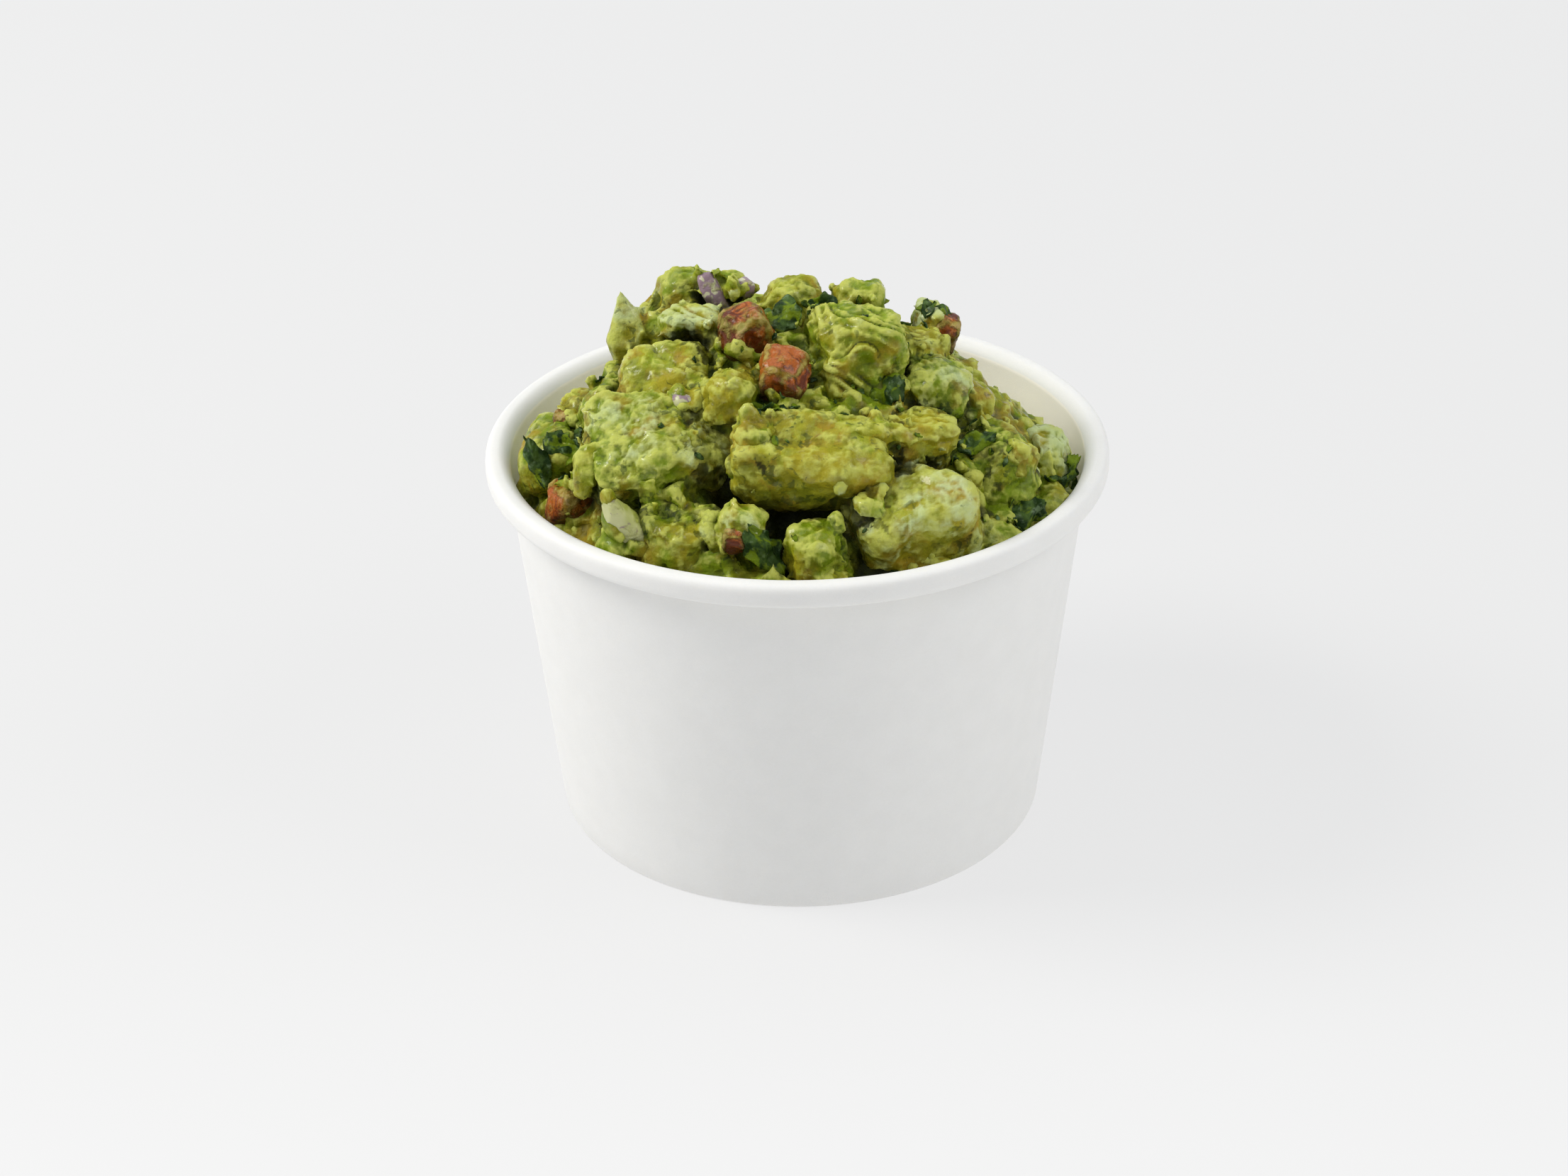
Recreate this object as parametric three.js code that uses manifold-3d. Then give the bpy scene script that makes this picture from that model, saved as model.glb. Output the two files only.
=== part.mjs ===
// Chunky guacamole heaped in a round paper food cup.
// Millimetres, +Z up. The origin is the centre of the cup's foot, and the front of the heap faces -Y.
// Three solids: the rolled side wall of the cup, its recessed bottom disc, and the heap of guacamole.

import * as THREE from 'three';
import { mergeVertices } from 'three/addons/utils/BufferGeometryUtils.js';
import Module from 'manifold-3d';

const wasm = await Module();
wasm.setup();

// ---------------------------------------------------------------- driving dimensions

const CUP_HEIGHT = 61.5;
const RIM_RADIUS = 48.5;
const FOOT_RADIUS = 38.8;
const BOARD = 0.8; // thickness of the coated board
const LIP = 3.9; // diameter of the rolled rim
const LIP_BOARD = 0.75; // board thickness inside the roll
const GAP = 0.3; // clearance between neighbouring pieces
const HEM_HEIGHT = 5.6; // board folded up inside the foot
const DISC_HEIGHT = 7.2; // top of the bottom disc above the table
const CUP_SIDES = 56;

const CROWN = 25; // mean mound above the rim plane at its crest
const CREST_Y = 2; // the crest stands a little behind the cup's axis
// The mound's form from its crest forwards, and from its crest back to a gutter by the wall.
const FRONT = { halfWidth: 44, reach: 46, foot: -4, power: 2.3, coreSink: 4.5 };
const BACK = { halfWidth: 38, reach: 33, foot: -9, power: 1.4, coreSink: 6.5 };
const HOLLOWS = [ // deeper gaps between the chunks
  { at: [-1, -30.5], radius: 6.5, depth: 13 },
  { at: [-10.5, -27], radius: 4, depth: 10 },
  { at: [11, -35], radius: 5, depth: 7 },
];

// ---------------------------------------------------------------- helpers

const { lerp, clamp } = THREE.MathUtils;
const DEG = Math.PI / 180;
const GOLDEN_ANGLE = 137.508 * DEG;

// A repeatable number from 0 to 1 for a piece's index and a channel.
function chance(index, channel) {
  const s = Math.sin(index * 127.1 + channel * 311.7) * 43758.5453;
  return s - Math.floor(s);
}

// Radius of the wall's outer face at a height, along the taper from the foot to the underside of the lip.
const LIP_CENTRE_Z = CUP_HEIGHT - LIP / 2;
const LIP_CENTRE_R = RIM_RADIUS - LIP / 2;
const WALL_TOP_R = RIM_RADIUS - LIP + BOARD;
const TAPER = (WALL_TOP_R - FOOT_RADIUS) / LIP_CENTRE_Z;
const outerRadius = (z) => FOOT_RADIUS + TAPER * z;

// A measure of the mound, which changes over ten millimetres behind the crest.
function frontToBack(y, measure) {
  return lerp(FRONT[measure], BACK[measure], clamp((y - CREST_Y) / 10, 0, 1));
}

// Level of the mound's mean surface against the rim plane.
function moundLevel(x, y) {
  const dy = y - CREST_Y;
  const { reach } = dy < 0 ? FRONT : BACK;
  const foot = frontToBack(y, 'foot');
  const out = Math.hypot(x / frontToBack(y, 'halfWidth'), dy / reach);
  return foot + (CROWN - foot) * Math.max(0, 1 - out ** frontToBack(y, 'power'));
}

// Level of the mashed core under the pieces.
function coreLevel(x, y) {
  return moundLevel(x, y) - frontToBack(y, 'coreSink') - hollowDepth(x, y);
}

function hollowDepth(x, y) {
  const depths = HOLLOWS.map(({ at, radius, depth }) => {
    const out = Math.hypot(x - at[0], y - at[1]) / radius;
    return depth * Math.exp(-out * out);
  });
  return Math.max(...depths);
}

function toSolid(geometry) {
  const bare = geometry.clone();
  bare.deleteAttribute('normal');
  bare.deleteAttribute('uv');
  const merged = mergeVertices(bare, 1e-4);
  return new wasm.Manifold(new wasm.Mesh({
    numProp: 3,
    vertProperties: new Float32Array(merged.attributes.position.array),
    triVerts: new Uint32Array(merged.index.array),
  }));
}

function toGeometry(solid) {
  const mesh = solid.getMesh();
  const geometry = new THREE.BufferGeometry();
  geometry.setAttribute('position', new THREE.BufferAttribute(new Float32Array(mesh.vertProperties), 3));
  geometry.setIndex(new THREE.BufferAttribute(new Uint32Array(mesh.triVerts), 1));
  geometry.computeVertexNormals();
  return geometry;
}

// A profile of [radius, z] points, listed up the outside, turned round the Z axis.
function turned(profile, sides) {
  const points = profile.map(([r, z]) => new THREE.Vector2(r, z));
  return new THREE.LatheGeometry(points, sides).rotateX(Math.PI / 2);
}

function arc(centreR, centreZ, radius, fromDeg, toDeg, steps) {
  return Array.from({ length: steps + 1 }, (_, i) => {
    const a = (fromDeg + ((toDeg - fromDeg) * i) / steps) * DEG;
    return [centreR + radius * Math.cos(a), centreZ + radius * Math.sin(a)];
  });
}

// ---------------------------------------------------------------- the paper cup

// Side wall: from the foot's edge up the outside, over the open roll of the lip, down the inside face,
// and round the hem that is folded up inside the foot.
function cupWall() {
  const CURL_END = -115;
  const INSIDE_STEPS = 6;
  const OUTSIDE_STEPS = 9;
  const hemOuter = BOARD * 2 + GAP * 2; // from the outer face in to the folded-up layer
  const hemInner = hemOuter + BOARD;
  const profile = [
    [outerRadius(0), 0],
    ...arc(LIP_CENTRE_R, LIP_CENTRE_Z, LIP / 2 - LIP_BOARD, 180, CURL_END, INSIDE_STEPS),
    ...arc(LIP_CENTRE_R, LIP_CENTRE_Z, LIP / 2, CURL_END, 180, OUTSIDE_STEPS),
    [outerRadius(BOARD) - BOARD, BOARD],
    [outerRadius(BOARD) - hemOuter, BOARD],
    [outerRadius(HEM_HEIGHT) - hemOuter, HEM_HEIGHT],
    [outerRadius(HEM_HEIGHT) - hemInner, HEM_HEIGHT],
    [outerRadius(0) - hemInner, 0],
    [outerRadius(0), 0],
  ];
  return turned(profile, CUP_SIDES);
}

// Bottom: a flat disc with a skirt that hangs in the pocket of the hem.
function cupBottom() {
  const skirtFoot = BOARD + GAP;
  const skirtOuter = (z) => outerRadius(z) - BOARD - GAP;
  const discUnder = DISC_HEIGHT - BOARD;
  const profile = [
    [0, discUnder],
    [skirtOuter(discUnder) - BOARD, discUnder],
    [skirtOuter(skirtFoot) - BOARD, skirtFoot],
    [skirtOuter(skirtFoot), skirtFoot],
    [skirtOuter(DISC_HEIGHT), DISC_HEIGHT],
    [0, DISC_HEIGHT],
  ];
  return turned(profile, CUP_SIDES);
}

// ---------------------------------------------------------------- pieces of the heap

// Shape of each kind of piece: how boxy it is, how uneven, and how many facets an edge has.
const KINDS = {
  chunk: { boxiness: 4.2, unevenness: 0.1, facets: 3 },
  bit: { boxiness: 3.2, unevenness: 0.12, facets: 2 },
  tomato: { boxiness: 4.5, unevenness: 0.06, facets: 2 },
  onion: { boxiness: 4.5, unevenness: 0.05, facets: 2 },
};

// A piece is tipped about X, then leant about Y, then spun about Z.
function placing(at, turn) {
  const [tip, lean, spin] = turn.map((angle) => angle * DEG);
  const turned = new THREE.Euler(tip, lean, spin, 'ZYX');
  return new THREE.Matrix4().makeRotationFromEuler(turned).setPosition(...at);
}

// Smooth unevenness of a piece's surface in a direction, from -1 to 1.
function waviness(n, seed) {
  const phase = seed * 1.7;
  const waves = [3.1 * n.x + phase, 3.7 * n.y + 2.3 * phase, 4.3 * n.z + 3.1 * phase];
  return waves.reduce((sum, wave) => sum + Math.sin(wave), 0) / waves.length;
}

// Flat cuts that take corners off a piece: a direction, and a distance as a share of the half sizes.
const CUTS = 3;
const NARROWED = { 17: 0.9, 44: 0.35 }; // how much the upper half of a piece, by its row, narrows to its top

function cutsOf(seed) {
  return Array.from({ length: CUTS }, (_, i) => {
    const parts = [0, 1, 2].map((axis) => {
      const sign = chance(seed, 20 + 7 * i + axis) > 0.5 ? 1 : -1;
      return sign * (0.35 + chance(seed, 23 + 7 * i + axis));
    });
    const distance = 0.92 + 0.2 * chance(seed, 26 + 7 * i);
    return { normal: new THREE.Vector3(...parts).normalize(), distance };
  });
}

// A rounded, uneven block: a faceted cube drawn in towards a ball, with a few corners cut off.
function block(kind, at, size, turn, seed) {
  const { boxiness, unevenness, facets } = KINDS[kind];
  const geometry = new THREE.BoxGeometry(1, 1, 1, facets, facets, facets);
  const position = geometry.attributes.position;
  const cuts = cutsOf(seed);
  const n = new THREE.Vector3();
  for (let i = 0; i < position.count; i += 1) {
    n.fromBufferAttribute(position, i).normalize();
    const across = Math.abs(n.x) ** boxiness + Math.abs(n.y) ** boxiness + Math.abs(n.z) ** boxiness;
    n.multiplyScalar(across ** (-1 / boxiness) * (1 + unevenness * waviness(n, seed)));
    for (const { normal, distance } of cuts) {
      n.multiplyScalar(Math.min(1, distance / Math.max(n.dot(normal), 1e-6)));
    }
    const narrow = 1 - (NARROWED[seed] ?? 0) * Math.max(0, n.z);
    position.setXYZ(i, (n.x * narrow * size[0]) / 2, (n.y * narrow * size[1]) / 2, (n.z * size[2]) / 2);
  }
  return toSolid(geometry.applyMatrix4(placing(at, turn)));
}

// A leaf or a torn piece of one: a thin plate, narrow at both ends and wavy, its two faces split alike.
function leaf(at, size, turn, seed) {
  const [length, thickness, width] = size;
  const ALONG = 5;
  const ACROSS = 2;
  const outline = (u) => 0.12 + 0.88 * Math.sin(Math.PI * (0.08 + 0.84 * u));
  const geometry = new THREE.BoxGeometry(1, 1, 1, ALONG, 1, ACROSS);
  const position = geometry.attributes.position;
  for (let i = 0; i < position.count; i += 1) {
    const u = position.getX(i) + 0.5;
    const side = position.getZ(i) * outline(u);
    const wave = 0.14 * length * Math.sin(5 * u + seed) * (0.5 + side);
    position.setXYZ(i, (u - 0.5) * length, position.getY(i) * thickness + wave, side * width);
  }
  return toSolid(geometry.applyMatrix4(placing(at, turn)));
}

// The pieces that face the front and crown the heap, each placed by hand:
// kind, [x, y, level against the rim plane], [width, depth, height], [tip, lean, spin] in degrees.
const PLACED = [
  // large avocado chunks on the front slope
  ['chunk', [-20.8, -20, 7], [17, 22.5, 16], [8, -15, 100]],
  ['chunk', [2, -26.5, 9], [25, 13, 12], [25, 4, 0]],
  ['chunk', [17, -29.5, 0.5], [19.5, 15, 15], [-20, 12, -168]],
  ['chunk', [8.5, -10.5, 18], [15, 15, 17], [-10, 6, 20]],
  ['chunk', [-19.5, -10, 14.5], [16, 13, 10], [30, -8, -5]],
  ['chunk', [29.5, -16.5, 1.5], [12.5, 14, 15], [0, 10, 30]],
  ['chunk', [-17.3, -32, -0.8], [14, 11, 9], [20, 6, -8]],
  ['chunk', [17, -21.5, 9.5], [12.5, 10, 9], [10, 0, 20]],
  // smaller avocado between and above them
  ['bit', [20.5, -12, 14], [11.5, 11, 9], [0, 12, 25]],
  ['bit', [25.4, -7, 8.8], [8, 11, 10], [10, 30, 0]],
  ['bit', [38, -5.5, -2.4], [9, 12.5, 12.4], [0, 0, 10]],
  ['bit', [-37.2, -6, 0], [11.5, 14, 13], [0, 0, -10]],
  ['bit', [-9.5, -18.5, 16.2], [8, 8.5, 9], [0, 10, 15]],
  ['bit', [-6, -27.5, 13.6], [7, 6.5, 5.5], [0, -10, 0]],
  ['bit', [2.3, -36.5, -0.8], [10, 9, 9], [10, 0, 30]],
  ['bit', [-8.2, -34.5, 3], [8, 7, 6], [0, 8, 0]],
  ['bit', [-16, 7, 20.3], [12, 8, 10.4], [0, 4, 0]],
  ['bit', [-25.6, 3, 16.6], [7.6, 7, 16.6], [0, -8, 0]],
  ['bit', [-10.4, 5, 22.8], [6.4, 5.5, 6.5], [0, 0, 0]],
  ['bit', [-15.8, -2.5, 20.5], [11, 7, 6], [0, 0, 8]],
  ['bit', [0, 1, 22.3], [10, 9, 8], [0, 0, -15]],
  ['bit', [9.8, 1.5, 22.1], [8.4, 8.5, 8.8], [0, 10, 0]],
  ['bit', [15.4, -6.5, 17.8], [6.5, 9, 8.6], [0, 20, 0]],
  ['bit', [19.9, -6.5, 18.2], [7.6, 6.5, 6.4], [0, 10, 10]],
  ['bit', [20.6, 0.5, 18.2], [5, 6, 9], [0, 0, 0]],
  ['bit', [20.6, 0, 11.6], [8.6, 10, 8], [0, 0, 0]],
  ['bit', [-29, -9, 9.3], [8.5, 9, 8.5], [0, -20, 0]],
  ['bit', [-32.5, -2, 6], [8, 8, 7], [0, 0, 20]],
  ['bit', [-26, -31.5, -3], [9, 7, 7], [0, 0, 30]],
  ['bit', [28.5, -28, -4.5], [11, 8, 8], [0, 0, -35]],
  ['bit', [38, -16, -5], [8, 11, 8], [0, 0, 20]],
  ['bit', [12.5, -25.5, 13], [7.5, 5, 4.5], [0, 10, 10]],
  ['bit', [-31, -23.5, 6.2], [5, 7, 9], [0, 10, -10]],
  ['bit', [10.2, -34.6, 5.8], [5.5, 5, 4.5], [0, 0, 20]],
  ['bit', [-20.8, 3, 15.7], [8, 8, 9], [0, 0, 10]],
  ['bit', [33, -19.5, 4.2], [4, 5, 11.5], [0, -8, 20]],
  // tomato
  ['tomato', [-7.4, -8, 20.8], [7.5, 7.5, 10.5], [10, -15, 10]],
  ['tomato', [-2, -18, 18.8], [7.5, 7, 8], [15, 10, -10]],
  ['tomato', [22.6, -0.5, 17.6], [3.8, 5, 6], [0, 15, 0]],
  ['tomato', [-33.5, -18.5, -1.8], [8, 8, 7], [0, 10, 30]],
  ['tomato', [-9.6, -37.4, 1.4], [3.4, 3, 4.5], [0, 0, 0]],
  ['tomato', [-34.5, -5, 6], [5.5, 4, 3.5], [0, 0, 10]],
  // red onion
  ['onion', [-12.2, 3.2, 22.2], [3.4, 3, 9], [-10, -26, 0]],
  ['onion', [-7.7, 4, 23.8], [3.2, 3.2, 2.8], [0, 10, 0]],
  ['onion', [-25.4, -32.8, 2.4], [4, 3.8, 10.6], [15, -28, -10]],
  ['onion', [-16.5, -17.3, 14.4], [4.5, 3.2, 3], [0, 10, 30]],
];

const LEAVES = [
  [[-4.8, -38.4, 0.6], [9, 0.6, 5], [-30, 60, 10]],
  [[-4.4, -21.8, 15.4], [8, 0.6, 5], [-50, 8, 5]],
  [[-2.6, -6.4, 23.4], [7.5, 0.6, 6.5], [-40, -20, -25]],
  [[5, -5.6, 23.6], [7, 0.6, 6], [-40, 25, 20]],
  [[21.4, -0.4, 21.4], [5.5, 0.6, 3.5], [-60, 15, 0]],
  [[41.5, -9.5, -1.5], [6, 0.6, 4], [-40, -30, 50]],
  [[-39.4, -14, 3.4], [8, 0.6, 3.5], [-30, 70, -30]],
  [[-35.8, -12.4, 5.2], [6, 0.6, 5], [-40, 20, -30]],
  [[13.2, -17.8, 16.2], [6, 0.6, 4.5], [-40, -30, 20]],
  [[26.5, -19.5, 8.6], [6, 0.6, 4], [-45, 0, 20]],
  [[33.5, -25, -2], [9, 0.6, 5], [-30, -30, 40]],
];

// The back of the heap: pieces set by a rule in rings round the crest, each kind in turn.
const BACK_RINGS = [
  { out: 0.24, pieces: 3, size: 12 },
  { out: 0.46, pieces: 5, size: 13 },
  { out: 0.68, pieces: 7, size: 12 },
  { out: 0.88, pieces: 9, size: 10.5 },
];
const BACK_ORDER = ['chunk', 'bit', 'chunk', 'tomato', 'bit', 'chunk', 'bit', 'onion'];
const BACK_SIZE = { chunk: 1.15, bit: 0.9, tomato: 0.65, onion: 0.7 };
const BACK_SINK = 5; // how much deeper the pieces lie towards the crest

function backPieces() {
  const rows = [];
  for (const { out, pieces, size } of BACK_RINGS) {
    for (let i = 0; i < pieces; i += 1) {
      const index = rows.length;
      const kind = BACK_ORDER[index % BACK_ORDER.length];
      const bearing = (8 + (164 * (i + 0.5)) / pieces + 8 * (chance(index, 1) - 0.5)) * DEG;
      const x = out * BACK.halfWidth * Math.cos(bearing);
      const y = CREST_Y + out * BACK.reach * Math.sin(bearing);
      const width = size * BACK_SIZE[kind] * (0.9 + 0.25 * chance(index, 2));
      const depth = kind === 'onion' ? 3.6 : width * (0.75 + 0.3 * chance(index, 3));
      const height = width * (0.65 + 0.25 * chance(index, 4));
      const turn = [50, 50, 180].map((swing, axis) => swing * (chance(index, 5 + axis) - 0.5));
      const level = moundLevel(x, y) - 0.5 * height - BACK_SINK * (1 - out);
      rows.push([kind, [x, y, level], [width, depth, height], turn]);
    }
  }
  return rows;
}

// Small lumps of mash that stick to a chunk, spread over its upper side by the golden angle.
const LUMPS_PER_CHUNK = 2;

function lumpsOn([, at, size], seed) {
  return Array.from({ length: LUMPS_PER_CHUNK }, (_, i) => {
    const up = 0.75 - (1.1 * (i + 0.5)) / LUMPS_PER_CHUNK;
    const round = i * GOLDEN_ANGLE + seed;
    const flat = Math.sqrt(1 - up * up);
    const radius = 2 + 1.3 * chance(seed * 10 + i, 8);
    const centre = [flat * Math.cos(round), flat * Math.sin(round), up]
      .map((part, axis) => at[axis] + part * (size[axis] / 2) * 0.85);
    return [centre, radius];
  });
}

// ---------------------------------------------------------------- the heap

// The space inside the cup that the food may fill, carried straight up above the rim.
function insideOfCup() {
  const floor = DISC_HEIGHT + GAP;
  const clear = BOARD + GAP;
  const ceiling = CUP_HEIGHT + CROWN * 2;
  const profile = [
    [0, floor],
    [outerRadius(floor) - clear, floor],
    [outerRadius(LIP_CENTRE_Z) - clear, LIP_CENTRE_Z],
    [outerRadius(LIP_CENTRE_Z) - clear, ceiling],
    [0, ceiling],
  ];
  return toSolid(turned(profile, CUP_SIDES));
}

// The mashed core: a plug that fills the cup, its top an uneven mound under the chunks.
function mashedCore() {
  const RINGS = 9;
  const SIDES = 32;
  const floor = DISC_HEIGHT + GAP;
  const widest = outerRadius(LIP_CENTRE_Z) - BOARD - GAP;
  const profile = [[0, floor], [outerRadius(floor) - BOARD - GAP, floor]];
  for (let i = RINGS; i >= 0; i -= 1) {
    profile.push([(widest * i) / RINGS, CUP_HEIGHT]);
  }
  const geometry = turned(profile, SIDES);
  const position = geometry.attributes.position;
  for (let i = 0; i < position.count; i += 1) {
    const isTop = position.getZ(i) > CUP_HEIGHT - GAP;
    if (isTop) {
      const x = position.getX(i);
      const y = position.getY(i);
      const bumps = 1.3 * Math.sin(0.55 * x + 0.9) * Math.sin(0.5 * y - 0.4);
      position.setZ(i, CUP_HEIGHT + coreLevel(x, y) + bumps);
    }
  }
  return toSolid(geometry);
}

function heap() {
  const rows = [...PLACED, ...backPieces()];
  const lumps = PLACED.flatMap((row, i) => (row[0] === 'chunk' ? lumpsOn(row, i) : []));
  const above = ([x, y, level]) => [x, y, CUP_HEIGHT + level];
  let solid = mashedCore();
  for (const [i, [kind, at, size, turn]] of rows.entries()) {
    solid = solid.add(block(kind, above(at), size, turn, i));
  }
  for (const [centre, radius] of lumps) {
    solid = solid.add(toSolid(new THREE.IcosahedronGeometry(radius).translate(...above(centre))));
  }
  for (const [i, [at, size, turn]] of LEAVES.entries()) {
    solid = solid.add(leaf(above(at), size, turn, i));
  }
  const bodies = solid.intersect(insideOfCup()).decompose();
  return toGeometry(bodies.reduce((a, b) => (a.volume() > b.volume() ? a : b)));
}

// ---------------------------------------------------------------- the model

function named(name, geometry, color, roughness) {
  const mesh = new THREE.Mesh(geometry, new THREE.MeshStandardMaterial({ color, roughness, metalness: 0 }));
  mesh.name = name;
  return mesh;
}

const model = new THREE.Group();
model.add(
  named('cup_wall', cupWall(), 0xf2f1ed, 0.55),
  named('cup_bottom', cupBottom(), 0xefeeea, 0.55),
  named('guacamole', heap(), 0x97a33a, 0.45),
);

export default model;
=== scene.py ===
"""Chunky guacamole heaped in a round paper food cup.

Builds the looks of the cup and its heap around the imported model: a spun paper cup with a rolled lip, the
mashed core, avocado chunks and bits, diced tomato, red onion and coriander leaf, and a plain stage.
Shapes are worked out in millimetres and scaled to metres when a piece is finished.
"""

import functools
import math
import random

import bmesh
import bpy
import numpy as np
from bpy.props import FloatProperty, FloatVectorProperty, IntProperty, PointerProperty
from mathutils import Euler, Matrix, Vector, noise
from mathutils.bvhtree import BVHTree
from mathutils.kdtree import KDTree


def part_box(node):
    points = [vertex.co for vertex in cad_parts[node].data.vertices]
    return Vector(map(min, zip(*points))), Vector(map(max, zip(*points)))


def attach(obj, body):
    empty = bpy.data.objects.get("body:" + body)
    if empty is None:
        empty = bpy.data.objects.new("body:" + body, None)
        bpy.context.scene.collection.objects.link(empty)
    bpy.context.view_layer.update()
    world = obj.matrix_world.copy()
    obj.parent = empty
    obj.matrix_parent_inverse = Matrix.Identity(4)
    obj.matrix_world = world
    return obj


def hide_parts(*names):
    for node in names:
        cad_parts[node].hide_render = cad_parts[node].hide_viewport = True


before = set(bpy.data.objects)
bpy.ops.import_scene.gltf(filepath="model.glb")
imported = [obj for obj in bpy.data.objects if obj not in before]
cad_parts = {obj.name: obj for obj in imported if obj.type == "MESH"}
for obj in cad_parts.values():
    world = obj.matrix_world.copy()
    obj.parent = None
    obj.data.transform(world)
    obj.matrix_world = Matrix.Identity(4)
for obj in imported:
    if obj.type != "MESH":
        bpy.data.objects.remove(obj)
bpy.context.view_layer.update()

bl_info = {
    "name": "Guacamole cup",
    "version": (1, 0, 0),
    "blender": (4, 5, 0),
    "location": "3D View > Sidebar > Guacamole",
    "description": "Builds a paper cup heaped with chunky guacamole",
    "category": "Add Mesh",
}

MM = 0.001
NOISE_SEED = 1  # unseeded, noise_vector takes its offsets from the clock
CUP_LOW, CUP_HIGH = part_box("cup_wall")

# ---------------------------------------------------------------- settings


def length(name, description, default, **limits):
    return FloatProperty(
        name=name, description=description, default=default, unit="LENGTH", precision=5, **limits
    )


def number(name, description, default, unit="NONE"):
    return FloatProperty(name=name, description=description, default=default, unit=unit)


def angle(name, description, degrees):
    return FloatProperty(name=name, description=description, default=math.radians(degrees), subtype="ANGLE")


def colour(name, description, default):
    return FloatVectorProperty(
        name=name, description=description, default=default, size=3, subtype="COLOR", min=0.0, max=1.0
    )


class CupSettings(bpy.types.PropertyGroup):
    height: length("Height", "Foot to the top of the lip", CUP_HIGH.z)
    rim_radius: length("Rim radius", "Axis to the outside of the rolled lip", CUP_HIGH.x)
    foot_radius: length("Foot radius", "Axis to the outside of the foot", 0.0388)
    board: length("Board", "Thickness of the coated board", 0.0008)
    lip: length("Lip", "Diameter of the rolled lip", 0.0039)
    paper: colour("Paper", "Uncoated white board", (0.872, 0.867, 0.842))
    # The inner face is lighter and warmer than the board: partly the coating's own tint, partly painted
    # bounce light from the food
    lining_and_bounce: colour("Lining", "Coated inner face, warm beside the food", (1.0, 0.945, 0.86))


class HeapSettings(bpy.types.PropertyGroup):
    crown: length("Crown", "Mean mound above the rim at its crest", 0.025)
    grain: length("Grain", "Grid that the soft food is moulded on", 0.00045, min=0.0003)
    triangles: IntProperty(name="Triangles", description="Most triangles in one piece", default=180000)
    flecks: IntProperty(name="Leaf flecks", description="Chopped leaf scattered on the heap", default=190)


class FoodColours(bpy.types.PropertyGroup):
    yellow: colour("Ripe flesh", "Avocado near the stone", (0.345, 0.300, 0.015))
    green: colour("Green flesh", "Avocado near the skin", (0.178, 0.255, 0.005))
    lime: colour("Bright flesh", "Fresh mash on the crumbs", (0.345, 0.460, 0.036))
    # Pale cream is also laid on as painted highlight on crests, edges and upward faces
    pale: colour("Creamed flesh", "Creamy mash on edges and ridges", (0.545, 0.575, 0.120))
    # Painted shade: near-black flesh laid in the hollows of the surface, and darker still in the gaps between
    # pieces
    hollow_shade: colour("Deep flesh", "Wet mash in the hollows", (0.030, 0.040, 0.0008))
    browned: colour("Browned flesh", "Flesh that has begun to brown", (0.370, 0.225, 0.022))
    tomato: colour("Tomato", "Tomato flesh", (0.130, 0.022, 0.002))
    tomato_orange: colour("Orange tomato", "Paler tomato flesh", (0.430, 0.108, 0.011))
    # Painted shade in the tomato's folds
    tomato_crease_shade: colour("Tomato fold", "Tomato in its folds", (0.035, 0.008, 0.001))
    # Painted shade on tomato that faces down
    tomato_underside_shade: colour("Tomato underside", "Tomato that faces down", (0.045, 0.010, 0.002))
    # Painted shade on tomato in a gap
    tomato_gap_shade: colour("Deep tomato", "Tomato in a gap", (0.030, 0.010, 0.002))
    tomato_pith: colour("Tomato pith", "Pale streaks in the flesh", (0.560, 0.400, 0.220))
    smear: colour("Smear", "Mash on the tomato", (0.170, 0.150, 0.012))
    pale_smear: colour("Pale smear", "Creamy mash on the tomato", (0.400, 0.380, 0.100))
    onion: colour("Onion", "Onion flesh", (0.520, 0.540, 0.200))
    # Milky green is also laid on as painted highlight on crests, edges and upward faces
    mint: colour("Milky flesh", "Whipped mash smeared on the edges", (0.560, 0.660, 0.330))
    onion_skin: colour("Onion edge", "Purple edge of each layer", (0.250, 0.140, 0.230))
    onion_cream: colour("Onion cream", "Cream part of each layer", (0.620, 0.600, 0.420))
    onion_stain: colour("Stained onion", "Onion stained by the avocado", (0.330, 0.370, 0.045))
    onion_smear: colour("Smear on onion", "Mash on the onion", (0.420, 0.440, 0.140))
    # Painted shade on onion in a gap
    onion_gap_shade: colour("Deep onion", "Onion in a gap", (0.050, 0.050, 0.010))
    leaf: colour("Leaf", "Coriander leaf", (0.012, 0.034, 0.005))
    leaf_light: colour("Light leaf", "Lighter blotches of the leaf", (0.075, 0.135, 0.026))
    leaf_cream: colour("Creamed leaf", "Mash on the leaf", (0.200, 0.290, 0.150))


class StageSettings(bpy.types.PropertyGroup):
    floor: colour("Floor", "Pale sweep under the cup", (0.86, 0.86, 0.86))
    key: number("Key", "Power of the large light on the left", 3.95, "POWER")
    fill: number("Fill", "Power of the light on the right", 1.55, "POWER")
    top: number("Top", "Power of the cool light overhead", 0.7, "POWER")
    sky: number("Sky", "Strength of the light all round", 0.53)
    glow: number("Glow", "Strength of the floor's own light", 0.85)
    distance: length("Distance", "Camera to the point it looks at", 0.5)
    elevation: angle("Elevation", "Camera above the horizon", 28.74)
    roll: angle("Roll", "Turn of the camera", -0.786)
    lens: number("Lens", "Focal length", 71.95, "CAMERA")


# ---------------------------------------------------------------- shader maths


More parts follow.
